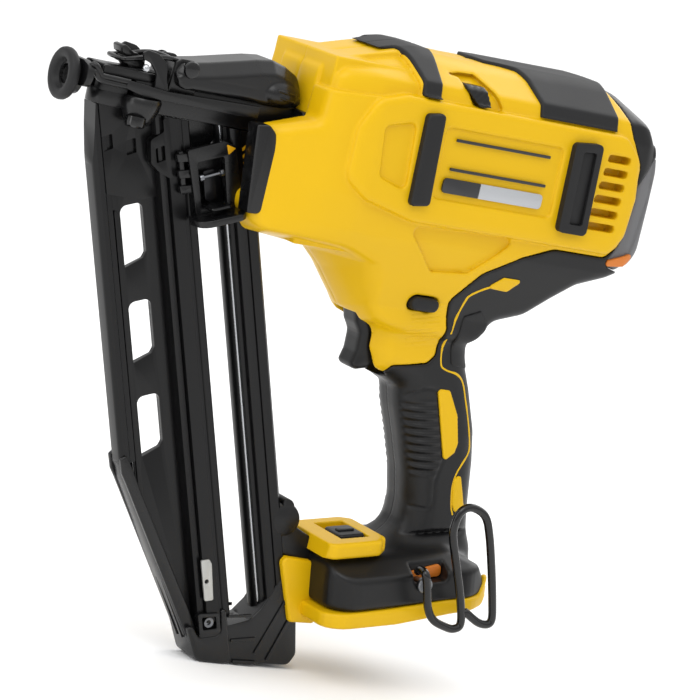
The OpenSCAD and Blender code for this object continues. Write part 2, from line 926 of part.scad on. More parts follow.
module magazine_bracket() {
    color(yellow) difference() {
        block([150, -12, -234], [192, 12, -206]);
        on_magazine() block([-50, -30, -320], [mag_depth, 30, 80]);
        foot_block();
        block([150, -8, -230], [182, 8, -212]);
        on_magazine() block([0, -20, -320], [mag_depth + 2, 20, -240]);
        // Nothing hangs below the underside of the foot
        on_foot() translate([-60, -30, -40]) cube([160, 60, 40]);
    }
}

// ---- Pusher ----

module pusher() {
    color(black) on_magazine() {
        difference() {
            // Side plate with its window
            block([45, -13, -59], [64, -10.6, -29]);
            block([49, -14, -54], [60, -8, -35]);
        }
        // Web that runs in the gap between the channel and the rear rail
        block([53, -11, -59], [60.2, 7, -35]);
        // Tongue that pushes the nail strip
        block([22, -0.9, -50], [54, 0.9, -42]);
        // Thumb shelf
        translate([0, 0, -63]) linear_extrude(3) round_rect([43, -26], [61.5, -10.6], 6);
        block([47, -13, -60], [58, -10.6, -59]);
        // Follower that rides in the groove of the rear rail
        block([60, -2.5, -59], [64.5, 2.5, -35]);
    }
}

module pusher_latch() {
    color(steel) on_magazine() difference() {
        union() {
            y_bar(54.5, -42, -18, -13.2, 2.5);
            block([52.5, -15.5, -57], [56.5, -13.2, -42]);
        }
        y_bar(54.5, -42, -30, 0, 0.8);
    }
}

housing_left();
housing_right();
rear_cap();
rear_underside_cover();
top_bumper_front();
top_bumper_rear();
side_bumpers();
side_plates();
front_cover();
grip_cover_left();
grip_cover_right();
foot_left();
foot_right();
foot_skirt();
mode_block();
mode_button();
terminal_block();
control_module();
belt_hook();
belt_hook_screw();
trigger();
trigger_spring();
trigger_switch();
lock_off_button();
stall_release();
drive_frame();
guide_rods();
return_springs();
stop_bumpers();
driver_carriage();
driver_blade();
flywheel();
motor_shaft();
motor_bearings();
motor_stator();
cooling_fan();
pinch_arm();
pinch_pivot_pin();
pinch_roller();
solenoid();
casing_screws();
nose_body();
nose_screws();
nose_door();
door_pin();
jam_latch();
latch_pin();
latch_bail();
contact_trip();
no_mar_pad();
trip_spring();
magazine_front_rail();
magazine_side_plates();
magazine_channel();
magazine_rear_rail();
magazine_end_cap();
magazine_screws();
magazine_bracket();
pusher();
pusher_latch();
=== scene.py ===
"""Looks of the cordless nailer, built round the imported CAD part.

Lengths in this file are in millimetres until they reach Blender, which works in metres.
X runs back along the tool, Y to its right-hand side, Z up, from the nail exit.
"""

import json
import math
from functools import partial

import bmesh
import bpy
import numpy as np
from mathutils import Matrix, Vector, geometry


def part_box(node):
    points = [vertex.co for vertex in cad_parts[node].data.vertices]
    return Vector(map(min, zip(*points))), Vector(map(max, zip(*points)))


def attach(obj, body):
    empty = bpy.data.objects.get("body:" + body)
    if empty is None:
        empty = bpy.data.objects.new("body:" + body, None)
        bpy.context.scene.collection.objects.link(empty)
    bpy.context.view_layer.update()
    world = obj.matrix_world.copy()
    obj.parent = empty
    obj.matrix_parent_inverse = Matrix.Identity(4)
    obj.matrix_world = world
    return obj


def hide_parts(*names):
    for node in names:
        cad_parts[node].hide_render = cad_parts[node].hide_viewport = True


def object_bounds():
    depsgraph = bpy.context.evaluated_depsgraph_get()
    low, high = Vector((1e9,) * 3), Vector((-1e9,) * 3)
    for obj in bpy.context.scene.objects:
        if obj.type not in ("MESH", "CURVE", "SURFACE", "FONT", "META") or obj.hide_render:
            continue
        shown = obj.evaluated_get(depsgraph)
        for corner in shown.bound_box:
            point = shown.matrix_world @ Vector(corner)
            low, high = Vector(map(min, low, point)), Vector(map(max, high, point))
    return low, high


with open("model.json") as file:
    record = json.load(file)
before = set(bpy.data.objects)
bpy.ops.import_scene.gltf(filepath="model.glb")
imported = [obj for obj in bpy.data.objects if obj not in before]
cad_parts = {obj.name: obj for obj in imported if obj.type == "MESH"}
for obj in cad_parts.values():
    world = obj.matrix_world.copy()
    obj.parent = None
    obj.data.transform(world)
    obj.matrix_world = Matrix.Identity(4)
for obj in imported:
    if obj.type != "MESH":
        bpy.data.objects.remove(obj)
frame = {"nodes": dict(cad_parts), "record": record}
cad_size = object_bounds()

MM = 0.001
COARSE = 1.0
# Angle in degrees above which an edge of a plate is drawn sharp
SHARP = 35

# Places shared with the CAD part
MAGAZINE_LEAN = 20
MAGAZINE_CORNER = (14.4, 0, -10)
FOOT_RISE = 10
FOOT_CORNER = (186, 0, -228)
LATCH_PIN = (57, 13)
# Radius and half width that the swinging lever needs
LEVER_SWEEP, LEVER_HALF_ROOM = 62.5, 16.5
DOOR_PIN = (46, 6.5)


# ---------------------------------------------------------------- materials


def linear(red, green, blue):
    """A colour given as 0-255 values, as the linear light that Blender uses."""
    out = []
    for value in (red, green, blue):
        value /= 255
        out.append(value / 12.92 if value <= 0.04045 else ((value + 0.055) / 1.055) ** 2.4)
    return (*out, 1)


def finish_material(name, colour, roughness, metallic=0.0, grain=900.0, depth=0.04, mottle=0.08,
        spread=0.08, coat=0.0, stretch=(1, 1, 1), specular=0.5):
    """A surface with a fine grain, uneven gloss and slightly uneven colour."""
    mat = bpy.data.materials.new(name)
    mat.use_nodes = True
    nodes, links = mat.node_tree.nodes, mat.node_tree.links
    nodes.clear()

    def add(kind, **values):
        node = nodes.new("ShaderNode" + kind)
        for socket, value in values.items():
            node.inputs[socket.replace("_", " ")].default_value = value
        return node

    out, place = add("OutputMaterial"), add("TexCoord")
    shader = add("BsdfPrincipled", Metallic=metallic, Specular_IOR_Level=specular,
        Coat_Weight=coat, Coat_Roughness=0.12)
    scale = add("Mapping", Scale=stretch)
    fine = add("TexNoise", Scale=grain, Detail=2.0)
    broad = add("TexNoise", Scale=38.0, Detail=3.0)
    tint = add("Mix")
    tint.data_type = "RGBA"
    tint.inputs["A"].default_value = tuple(c * (1 - mottle) for c in colour[:3]) + (1,)
    tint.inputs["B"].default_value = colour
    gloss = add("MapRange", To_Min=roughness - spread / 2, To_Max=roughness + spread / 2)
    bump = add("Bump", Strength=1.0, Distance=depth * MM)
    wires = [(place, "Object", scale, "Vector"), (scale, "Vector", fine, "Vector"),
        (place, "Object", broad, "Vector"), (broad, "Fac", tint, "Factor"),
        (tint, "Result", shader, "Base Color"), (broad, "Fac", gloss, "Value"),
        (gloss, "Result", shader, "Roughness"), (fine, "Fac", bump, "Height"),
        (bump, "Normal", shader, "Normal"), (shader, "BSDF", out, "Surface")]
    for source, output, target, socket in wires:
        links.new(source.outputs[output], target.inputs[socket])
    return mat


YELLOW = finish_material("yellow_plastic", linear(216, 172, 8), 0.36, grain=1500, depth=0.012,
    mottle=0.03, spread=0.06, specular=0.22)
YELLOW_DULL = finish_material("yellow_dull", linear(198, 144, 8), 0.45, grain=1500, depth=0.015,
    mottle=0.04, specular=0.2)
BLACK = finish_material("black_plastic", linear(17, 17, 18), 0.38, grain=1700, depth=0.02,
    mottle=0.25, specular=0.32)
RUBBER = finish_material("soft_rubber", linear(27, 27, 28), 0.55, grain=1200, depth=0.035,
    mottle=0.2, spread=0.1, specular=0.3)
GREY = finish_material("grey_plastic", linear(96, 96, 98), 0.5, grain=1500, depth=0.03,
    mottle=0.12)
ANODISED = finish_material("black_anodised", linear(11, 11, 12), 0.3, metallic=0.2, grain=2400,
    depth=0.008, mottle=0.2, stretch=(1, 1, 0.05), specular=0.34)
PAINTED = finish_material("black_paint", linear(12, 12, 13), 0.28, grain=700, depth=0.012,
    mottle=0.25, spread=0.12, specular=0.4)
GLOSS_WIRE = finish_material("glossy_black_wire", linear(6, 6, 7), 0.16, specular=0.4, coat=0.15,
    grain=500, depth=0.01, mottle=0.3, spread=0.05)
STEEL = finish_material("bright_steel", linear(188, 190, 193), 0.26, metallic=1.0, grain=2200,
    depth=0.006, mottle=0.2, spread=0.14, stretch=(1, 1, 0.04))
SPRING = finish_material("spring_steel", linear(128, 130, 134), 0.3, metallic=1.0, grain=1800,
    depth=0.005, mottle=0.25)
# Spring steel drawn darker for the pusher latch: painted shade standing for the dim inside of the
# magazine window
SPRING_IN_SHADE = finish_material("spring_steel_painted_shade", linear(34, 34, 36), 0.3, metallic=0.6, grain=1500,
    depth=0.006, mottle=0.3)
CAST = finish_material("cast_metal", linear(120, 121, 123), 0.5, metallic=0.9, grain=600,
    depth=0.05, mottle=0.25)
COPPER = finish_material("copper_windings", linear(184, 110, 58), 0.35, metallic=1.0, grain=1800,
    depth=0.05, mottle=0.3, stretch=(1, 0.1, 1))
PLATE = finish_material("aluminium_plate", linear(186, 186, 182), 0.42, metallic=0.7, grain=2200,
    depth=0.006, mottle=0.08, stretch=(1, 1, 0.05))
LABEL_DARK = finish_material("label_dark", linear(38, 38, 40), 0.3, grain=900, depth=0.004,
    mottle=0.1)
LABEL_PALE = finish_material("label_pale", linear(176, 178, 181), 0.32, metallic=0.3, grain=900,
    depth=0.004, mottle=0.06)
GLOW = finish_material("orange_inside", linear(214, 120, 30), 0.5, grain=900, depth=0.02,
    mottle=0.3)

# ---------------------------------------------------------------- outlines


def rounded(points, radius):
    """The closed outline with each corner turned into an arc. A point may carry its own radius."""
    out = []
    count = len(points)
    for i, point in enumerate(points):
        here = np.array(point[:2], float)
        r = point[2] if len(point) > 2 else radius
        before = np.array(points[i - 1][:2], float)
        after = np.array(points[(i + 1) % count][:2], float)
        a, b = before - here, after - here
        la, lb = np.linalg.norm(a), np.linalg.norm(b)
        a, b = a / la, b / lb
        angle = math.acos(max(-1, min(1, float(a @ b))))
        if r <= 0 or angle > math.pi - 0.03:
            out.append(tuple(here))
            continue
        reach = min(r / math.tan(angle / 2), 0.48 * la, 0.48 * lb)
        r = reach * math.tan(angle / 2)
        centre = here + (a + b) / np.linalg.norm(a + b) * (r / math.sin(angle / 2))
        start, end = here + a * reach - centre, here + b * reach - centre
        t0 = math.atan2(start[1], start[0])
        turn = (math.atan2(end[1], end[0]) - t0 + math.pi) % (2 * math.pi) - math.pi
        steps = max(2, int(abs(turn) / 0.3) + 1)
        for k in range(steps + 1):
            t = t0 + turn * k / steps
            out.append((centre[0] + r * math.cos(t), centre[1] + r * math.sin(t)))
    return out


def ring(centre, radius, steps):
    """A circle as an outline."""
    turns = [2 * math.pi * k / steps for k in range(steps)]
    return [(centre[0] + radius * math.cos(t), centre[1] + radius * math.sin(t)) for t in turns]


def box_outline(low, high, radius):
    """A rectangle with rounded corners."""
    corners = [(low[0], low[1]), (high[0], low[1]), (high[0], high[1]), (low[0], high[1])]
    return rounded(corners, radius)


def doubled(points):
    """Half an outline or profile followed by its mirror image about the first axis."""
    return points + [(a, -b, *radius) for a, b, *radius in points[::-1]]


# ---------------------------------------------------------------- meshes


def keep(mesh_object, material, body="frame", node=None):
    """Puts a finished mesh in the scene, on its body, standing for its CAD node."""
    mesh_object.data.materials.clear()
    mesh_object.data.materials.append(material)
    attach(mesh_object, body)
    for name in [node] if isinstance(node, str) else (node or []):
        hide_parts(name)
    return mesh_object


def new_object(name, mesh):
    thing = bpy.data.objects.new(name, mesh)
    bpy.context.scene.collection.objects.link(thing)
    return thing


def shade(thing, sharp):
    """Smooth shading, except where faces meet at more than the sharp angle in degrees."""
    thing.data.polygons.foreach_set("use_smooth", [True] * len(thing.data.polygons))
    thing.data.set_sharp_from_angle(angle=math.radians(sharp))


def from_bmesh(name, bm):
    mesh = bpy.data.meshes.new(name)
    bm.to_mesh(mesh)
    bm.free()
    thing = new_object(name, mesh)
    shade(thing, SHARP)
    return thing


def to_frame(axis, place=None):
    """Turns (a, b, height) of an outline into X, Y, Z in metres."""
    rows = {"y": ((1, 0, 0), (0, 0, 1), (0, 1, 0)), "x": ((0, 1, 0), (0, 0, 1), (1, 0, 0)),
        "z": ((1, 0, 0), (0, 1, 0), (0, 0, 1)),}[axis]
    turn = Matrix(rows).transposed().to_4x4()
    return Matrix.Scale(MM, 4) @ (place or Matrix.Identity(4)) @ turn


def plate(name, outline, low, high, axis="y", holes=(), bevel=0.5, segments=2, place=None):
    """An outline given thickness from low to high along an axis, with holes and broken edges."""
    bm = bmesh.new()
    loops = [list(outline)] + [list(h) for h in holes]
    flat = [[Vector((p[0], p[1], 0)) for p in loop] for loop in loops]
    points = [p for loop in flat for p in loop]
    bottom = [bm.verts.new((p.x, p.y, low)) for p in points]
    top = [bm.verts.new((p.x, p.y, high)) for p in points]
    for a, b, c in geometry.tessellate_polygon(flat):
        for ring_verts in (bottom, top):
            try:
                bm.faces.new((ring_verts[a], ring_verts[b], ring_verts[c]))
            except ValueError:
                pass
    start = 0
    for loop in loops:
        n = len(loop)
        for k in range(n):
            a, b = start + k, start + (k + 1) % n
            bm.faces.new((bottom[a], bottom[b], top[b], top[a]))
        start += n
    bmesh.ops.recalc_face_normals(bm, faces=bm.faces)
    bmesh.ops.dissolve_limit(bm, angle_limit=0.01, verts=bm.verts, edges=bm.edges)
    if bevel:
        edges = [e for e in bm.edges if len(e.link_faces) == 2
            and e.calc_face_angle(0) > math.radians(32)]
        bmesh.ops.bevel(bm, geom=edges, offset=bevel, segments=segments, profile=0.5,
            affect="EDGES", clamp_overlap=True)
    bmesh.ops.transform(bm, matrix=to_frame(axis, place), verts=bm.verts)
    bmesh.ops.recalc_face_normals(bm, faces=bm.faces)
    return from_bmesh(name, bm)


def lathe(name, profile, centre, direction, steps=56, place=None):
    """A profile of (radius, height) points turned round an axis through centre."""
    bm = bmesh.new()
    rings = []
    for radius, height in profile:
        if radius < 1e-6:
            rings.append([bm.verts.new((0, 0, height))])
        else:
            rings.append([bm.verts.new((radius * math.cos(2 * math.pi * k / steps),
                    radius * math.sin(2 * math.pi * k / steps), height)) for k in range(steps)])
    closed = len(rings[0]) > 1 and len(rings[-1]) > 1
    pairs = list(zip(rings, rings[1:])) + ([(rings[-1], rings[0])] if closed else [])
    for a, b in pairs:
        for k in range(steps):
            n = (k + 1) % steps
            corner = [a[k % len(a)], a[n % len(a)], b[n % len(b)], b[k % len(b)]]
            unique = list(dict.fromkeys(corner))
            if len(unique) > 2:
                bm.faces.new(unique)
    turn = Vector(direction).to_track_quat("Z", "Y").to_matrix().to_4x4()
    move = Matrix.Scale(MM, 4) @ (place or Matrix.Identity(4)) @ Matrix.Translation(centre)
    bmesh.ops.transform(bm, matrix=move @ turn, verts=bm.verts)
    bmesh.ops.recalc_face_normals(bm, faces=bm.faces)
    return from_bmesh(name, bm)


def smooth_path(points, steps=8):
    """A path that passes through the points without corners."""
    pts = [Vector(p) for p in points]
    pts = [pts[0] * 2 - pts[1]] + pts + [pts[-1] * 2 - pts[-2]]
    out = []
    for a, b, c, d in zip(pts, pts[1:], pts[2:], pts[3:]):
        for k in range(steps):
            t = k / steps
            out.append(0.5 * (2 * b + (c - a) * t + (2 * a - 5 * b + 4 * c - d) * t * t
                    + (3 * b - a - 3 * c + d) * t ** 3))
    return out + [pts[-2]]


def tube(name, path, radius, sides=16, place=None):
    """A round wire along a path, with rounded ends."""
    bm = bmesh.new()
    path = [Vector(p) for p in path]
    along = [(path[min(i + 1, len(path) - 1)] - path[max(i - 1, 0)]).normalized()
        for i in range(len(path))]
    side = along[0].orthogonal().normalized()
    stations = []
    for point, way in zip(path, along):
        side = (side - way * side.dot(way)).normalized()
        stations.append((point, side, way.cross(side), 1.0))
    first, last = stations[0], stations[-1]
    caps = [(0.35, 0.94), (0.7, 0.71), (0.95, 0.31)]
    head = [(first[0] - along[0] * radius * a, first[1], first[2], b) for a, b in caps[::-1]]
    tail = [(last[0] + along[-1] * radius * a, last[1], last[2], b) for a, b in caps]
    rings = []
    for point, u, v, share in head + stations + tail:
        rings.append([bm.verts.new(point + (u * math.cos(2 * math.pi * k / sides) + v
                * math.sin(2 * math.pi * k / sides)) * radius * share) for k in range(sides)])
    for a, b in zip(rings, rings[1:]):
        for k in range(sides):
            n = (k + 1) % sides
            bm.faces.new((a[k], a[n], b[n], b[k]))
    bm.faces.new(rings[0][::-1])
    bm.faces.new(rings[-1])
    bmesh.ops.transform(bm, matrix=Matrix.Scale(MM, 4) @ (place or Matrix.Identity(4)),
        verts=bm.verts)
    bmesh.ops.recalc_face_normals(bm, faces=bm.faces)
    return from_bmesh(name, bm)


def join(name, things):
    """Several meshes as one object."""
    bm = bmesh.new()
    for thing in things:
        bm.from_mesh(thing.data)
    for thing in things:
        mesh = thing.data
        bpy.data.objects.remove(thing)
        bpy.data.meshes.remove(mesh)
    return from_bmesh(name, bm)


def both_sides(name, outline, near, far, **options):
    """The same plate on the left and on the right, from near to far off the middle."""
    parts = []
    for side in (-1, 1):
        low, high = sorted((side * near, side * far))
        parts.append(plate(name, outline, low, high, **options))
    return join(name, parts)


def mirrored(thing, name):
    """The same mesh on the other side of the tool."""
    bm = bmesh.new()
    bm.from_mesh(thing.data)
    bmesh.ops.transform(bm, matrix=Matrix.Scale(-1, 4, (0, 1, 0)), verts=bm.verts)
    bmesh.ops.reverse_faces(bm, faces=bm.faces)
    return from_bmesh(name, bm)


# ---------------------------------------------------------------- distance fields


def outline_distance(points, a, b):
    """Signed distance from (a, b) to a closed outline, negative inside."""
    a, b = np.broadcast_arrays(a, b)
    nearest = np.full(a.shape, 1e9, np.float32)
    inside = np.zeros(a.shape, bool)
    pts = np.asarray([p[:2] for p in points], np.float32)
    for p, q in zip(pts, np.roll(pts, -1, 0)):
        e = q - p
        wa, wb = a - p[0], b - p[1]
        t = np.clip((wa * e[0] + wb * e[1]) / max(float(e @ e), 1e-9), 0, 1)
        nearest = np.minimum(nearest, (wa - e[0] * t) ** 2 + (wb - e[1] * t) ** 2)
        if abs(e[1]) > 1e-9:
            inside ^= ((p[1] > b) != (q[1] > b)) & (a < p[0] + wb * (e[0] / e[1]))
    return np.where(inside, -1, 1).astype(np.float32) * np.sqrt(nearest)


def both(a, b, k=0.0):
    """Inside both shapes, the corner between them rounded over k."""
    if not k:
        return np.maximum(a, b)
    h = np.clip(k - np.abs(a - b), 0, None) / k
    return np.maximum(a, b) + h * h * k / 4


def either(a, b, k=0.0):
    """Inside either shape, the corner between them filled over k."""
    return -both(-a, -b, k)


def cut(a, b, k=0.0):
    return both(a, -b, k)


class Field:
    """A grid of points in millimetres that shapes are measured on."""

    def __init__(self, low, high, step):
        step *= COARSE
        self.step, self.low = step, np.array(low, np.float32)
        axes = [np.arange(a, b + step, step, dtype=np.float32) for a, b in zip(low, high)]
        self.x = axes[0][:, None, None]
        self.y = axes[1][None, :, None]
        self.z = axes[2][None, None, :]

    @property
    def across(self):
        """Distance from the middle plane of the tool."""
        return np.abs(self.y)

    def side(self, outline):
        """Distance to an outline seen from the side."""
        return outline_distance(outline, self.x, self.z)

    def bore(self, centre, radius):
        """Distance to a round hole along Y."""
        return np.sqrt((self.x - centre[0]) ** 2 + (self.z - centre[1]) ** 2) - radius

    def local(self, corner, lean):
        """X and Z in a frame turned about Y."""
        c, s = math.cos(math.radians(lean)), math.sin(math.radians(lean))
        dx, dz = self.x - corner[0], self.z - corner[2]
        return dx * c + dz * s, dz * c - dx * s


CORNERS = np.array([(i, j, k) for i in (0, 1) for j in (0, 1) for k in (0, 1)])
CELL_EDGES = [(a, b) for a in range(8) for b in range(a + 1, 8)
    if abs(CORNERS[a] - CORNERS[b]).sum() == 1]


def surface(name, field, values):
    """The surface where a field of distances is zero, as one mesh of small quads."""
    values = np.ascontiguousarray(values, dtype=np.float32)
    for axis in range(3):
        edge = [slice(None)] * 3
        for end in (0, -1):
            edge[axis] = end
            values[tuple(edge)] = np.maximum(values[tuple(edge)], 0.01)
    inside = values < 0
    shape = np.array(values.shape) - 1
    total = np.zeros(shape, np.uint8)
    for i, j, k in CORNERS:
        total += inside[i:shape[0] + i, j:shape[1] + j, k:shape[2] + k]
    active = (total > 0) & (total < 8)
    cells = np.argwhere(active)
    number = np.full(shape, -1, np.int64)
    number[active] = np.arange(len(cells))
    corner_values = np.stack([values[tuple((cells + c).T)] for c in CORNERS], 1)
    total_point = np.zeros((len(cells), 3))
    crossings = np.zeros(len(cells))
    for a, b in CELL_EDGES:
        va, vb = corner_values[:, a], corner_values[:, b]
        hit = (va < 0) != (vb < 0)
        t = np.where(hit, va / np.where(hit, va - vb, 1), 0)[:, None]
        point = CORNERS[a] + t * (CORNERS[b] - CORNERS[a])
        total_point += np.where(hit[:, None], point, 0)
        crossings += hit
    points = cells + total_point / crossings[:, None]

    def sample(at):
        at = np.clip(at, 0, np.array(values.shape) - 1.001)
        base = at.astype(int)
        f = at - base
        out = np.zeros(len(at))
        for c in CORNERS:
            weight = np.prod(np.where(c, f, 1 - f), 1)
            out += weight * values[tuple((base + c).T)]
        return out

    for _ in range(2):
        slope = np.stack([sample(points + d) - sample(points - d) for d in np.eye(3) * 0.5], 1)
        size = np.maximum((slope ** 2).sum(1), (0.3 * field.step) ** 2)
        move = -(sample(points) / size)[:, None] * slope
        points = points + np.clip(move, -0.35, 0.35)
    faces = []
    for axis in range(3):
        u, v = (axis + 1) % 3, (axis + 2) % 3
        low = [slice(None)] * 3
        high = [slice(None)] * 3
        low[axis], high[axis] = slice(None, -1), slice(1, None)
        first = inside[tuple(low)]
        change = first != inside[tuple(high)]
        where = np.argwhere(change)
        where = where[(where[:, u] > 0) & (where[:, v] > 0) & (where[:, u] < shape[u]) & (where[:,
                v] < shape[v])]
        du, dv = np.eye(3, dtype=int)[u], np.eye(3, dtype=int)[v]
        quad = np.stack([number[tuple((where + d).T)] for d in (0 * du, -du, -du - dv, -dv)], 1)
        outward = first[tuple(where.T)]
        faces.append(np.where(outward[:, None], quad[:, ::-1], quad))
    faces = np.concatenate(faces)[:, ::-1]
    mesh = bpy.data.meshes.new(name)
    mesh.vertices.add(len(points))
    coordinates = (points * field.step + field.low) * MM
    mesh.vertices.foreach_set("co", coordinates.astype(np.float32).ravel())
    mesh.loops.add(len(faces) * 4)
    mesh.polygons.add(len(faces))
    mesh.loops.foreach_set("vertex_index", faces.astype(np.int32).ravel())
    mesh.polygons.foreach_set("loop_start", np.arange(0, len(faces) * 4, 4, dtype=np.int32))
    mesh.polygons.foreach_set("use_smooth", np.ones(len(faces), bool))
    mesh.update(calc_edges=True)
    mesh.validate()
    return new_object(name, mesh)


def left_half(g, values):
    """What lies left of the middle, and a little past it, so that no seam shows."""
    return both(values, g.y - 0.5, 0.1)


def pair(name, g, values, material, nodes):
    """A left half made from the field, and its mirror image on the right."""
    left = surface(name + "_left", g, values)
    right = mirrored(left, name + "_right")
    shade(right, 180)
    keep(left, material, "frame", nodes[0] if nodes else None)
    keep(right, material, "frame", nodes[-1] if nodes else None)


# ---------------------------------------------------------------- casing and handle

BODY_SIDE = rounded([(94, -5, 3), (94, -42, 5), (103, -54, 6), (124, -56.4, 8), (145, -59, 6),
        (154.4, -67, 10), (161.5, -75, 10), (169.2, -83.5, 5), (177, -88, 3), (236, -88, 6),
        (244, -77, 8), (258, -71.6, 10), (268, -61.5, 10), (278, -52.4, 10), (292, -46.4, 8),
        (303.5, -39.6, 6), (312, -32, 5), (312.6, -12, 8), (310.6, 7, 8), (304.8, 19.4, 8),
        (296, 30.8, 10), (285, 39.6, 8), (276, 42.4, 6), (200, 41.4, 10), (168, 42.4, 10),
        (152, 37.8, 10), (136, 33.4, 8), (125.5, 31.2, 4), (120, 25.5, 5), (119, 12, 8),
        (118.5, 3, 4)], 4)
TOP_RIDGE = rounded([(106, 17), (165, 21), (157, 50), (106, 50)], 3)
BODY_SECTION = [(0, 44.0), (15, 43.2), (36.5, 29.0), (39.8, 20), (39.8, -27), (36.5, -44),
    (30, -60), (23, -78), (21, -100), (0, -100)]
PANEL_SECTION = [(0, 50), (18, 46), (38.5, 31), (42.3, 21), (42.3, -30), (40, -42), (0, -42)]
BODY_PLAN = rounded([(90, -5), (90, 22), (95, 27.5, 4), (106, 32, 8), (126, 38, 12),
        (144, 42.5, 8), (284, 42.5, 6), (299, 40, 8), (309.5, 34.5, 7), (314, 23), (314, -5)], 1)
PANEL_SIDE = rounded([(134, -20, 8), (134, 4, 10), (141, 18, 7), (156, 22.5, 8), (280, 22.5, 8),
        (291, 13, 8), (294.5, -6, 10), (293, -25, 8), (286, -34.5, 6), (174, -34.5, 10),
        (146, -28, 8)], 6)
FRONT_RECESS = rounded([(147, 7), (163, 11), (165.5, -21), (150, -16.5)], 3)
LABEL_RECESS = rounded([(179.5, 11.5), (246, 11.5), (247, -22), (180.5, -22)], 2.5)
LOWER_RECESS = rounded([(174, -36.5), (236, -34), (216, -55), (196, -57)], 3)
VENT_ROWS = [11 - 6.6 * k for k in range(6)]
LOCK_PILL = box_outline((192, -77.4), (208.6, -69.4), 3.9)
TRIGGER_POCKET = rounded([(160, -84.5), (203.5, -84.5), (203.5, -101), (202, -107), (198, -112),
        (190, -114), (160, -114)], 3)
TRIGGER_HALF_ROOM = 10.2
TRIGGER_TAIL_SLOT = box_outline((190, -100), (218, -89), 1)
RELEASE_HOLE = rounded([(179, 34.5), (187, 34), (193, 23), (211, 22), (205, 30), (197, 36)], 1.5)
RELEASE_TAB = rounded([(187.5, 31.9), (188, 29.8), (195.5, 22.8), (202, 23.6), (198.5, 31.8)], 0.8)
HANDLE_SIDE = rounded([(182, -60), (184, -100, 6), (190, -110.5, 5), (200, -113.5, 6),
        (207.8, -117, 5), (211, -127, 20), (217.3, -141, 30), (223.8, -157, 30), (227.6, -171, 14),
        (228, -182, 12), (222, -190, 8), (210, -205, 6), (268, -205, 6), (271, -190, 10),
        (266, -180, 20), (263.6, -169, 20), (260, -147, 25), (256.4, -132, 20), (248, -112, 20),
        (241, -98, 12), (237, -80, 10), (240, -60)], 5)
HANDLE_HALF_WIDTH, HANDLE_ROUNDING = 17, 13
FOOT_SIDE_LOCAL = rounded([(-3, 4.6), (-4, 20, 5), (0, 28, 5), (68, 28, 7), (81, 21.6, 5),
        (88.5, 10.5, 5), (87, 5.6)], 1.5)
FOOT_PLAN_LOCAL = rounded(doubled([(0, -38, 13), (74, -38, 12), (88, -30, 10)]), 3)
# Where the yellow shell ends and the black grip and the rear cap begin
YELLOW_EDGE = rounded([(60, 70), (60, -90), (165, -91, 3), (171, -112.5, 2), (186, -116.6, 3),
        (195, -116, 3), (198, -106, 2), (216, -102.3, 4), (219.5, -98, 3), (218.5, -84, 3),
        (213.5, -70, 5), (224, -54, 8), (241, -43, 10), (257, -36.5, 8), (286, -36.5, 4),
        (292.5, -30, 6), (296, -8, 8), (294, 10, 6), (286, 22, 6), (281, 34, 3), (272, 48),
        (272, 70)], 2)
REAR_EDGE = rounded([(272, 60), (272.5, 47), (281.5, 34), (286.5, 22, 6), (294.5, 10, 6),
        (296.5, -8, 8), (293, -30, 4), (287, -40, 3), (303, -43.5, 3), (320, -40), (320, 60)], 1)


def add_handle(g, body):
    """The body with the handle grown out of it."""
    depth = g.side(HANDLE_SIDE) + HANDLE_ROUNDING
    width = g.across - (HANDLE_HALF_WIDTH - HANDLE_ROUNDING)
    edge = np.sqrt(np.maximum(depth, 0) ** 2 + np.maximum(width, 0) ** 2)
    inner = np.minimum(np.maximum(depth, width), 0)
    return either(body, edge + inner - HANDLE_ROUNDING, 7)


def casing_field(g):
    """The whole upper shape, before it is divided between the shells."""
    side = g.side(BODY_SIDE)
    across = g.across
    plan = outline_distance(BODY_PLAN, g.x, across)
    narrow = outline_distance(BODY_SECTION + [(-60, -100), (-60, 44.5)], across, g.z)
    core = both(both(side, narrow, 5), plan + 2.4, 6)
    # Below the magazine the front narrows like a keel
    spare = 2.5 * np.clip(g.z + 58, 0, 30) + 1.4 * np.clip(g.x - 172, 0, 30)
    core = both(core, (across + 1.9 * side - 6 - spare) / 2.1, 5)
    shoulder = both(g.side(TOP_RIDGE), 17.5 - across, 0)
    core = cut(core, both(shoulder, -core - 2.2), 1.5)
    wide = outline_distance(PANEL_SECTION + [(-60, -42), (-60, 50)], across, g.z)
    panel = both(both(both(g.side(PANEL_SIDE), wide, 2.4), plan, 3), side, 3)
    body = either(core, both(panel, 24 - across), 1.2)
    # The frame inside stays covered
    inner = both(both(across - 27.9, np.abs(g.z + 11) - 43.8), np.abs(g.x - 144) - 22.4)
    body = either(body, inner, 1)
    return add_handle(g, body)


def carve(body, outline, depth, k):
    """Sinks an outline into the skin of a body by depth."""
    return cut(body, both(outline, -body - depth), k)


def upper_details(g, body):
    """Recesses, slots and openings in the yellow shell."""
    flank = 26 - g.across
    body = carve(body, both(g.side(FRONT_RECESS), flank), 2.0, 0.7)
    body = carve(body, both(g.side(LABEL_RECESS), flank), 1.3, 0.5)
    body = carve(body, both(g.side(LOWER_RECESS), 20 - g.across), 2.0, 0.6)
    for row in VENT_ROWS:
        slot = rounded([(270 + 0.12 * row, row - 1.8), (285, row - 1.8), (285, row + 1.8),
                (271 + 0.12 * row, row + 1.8)], 1.6)
        body = cut(body, both(g.side(slot), 34 - g.across), 0.7)
    body = cut(body, both(g.side(LOCK_PILL), 12 - g.across), 0.9)
    # Sliding tab of the stall release, in the left chamfer only
    body = carve(body, both(g.side(RELEASE_HOLE), g.y + 18), 2.6, 0.8)
    # Fine ribs beside the trigger
    u, w = g.local((206, 0, -84), 12)
    patch = both(np.abs(u) - 8.5, np.abs(w) - 12.5)
    ribs = 0.22 * np.cos(2 * math.pi * w / 2.2) * np.clip(-patch, 0, 1)
    return body + ribs * (g.across > 8)


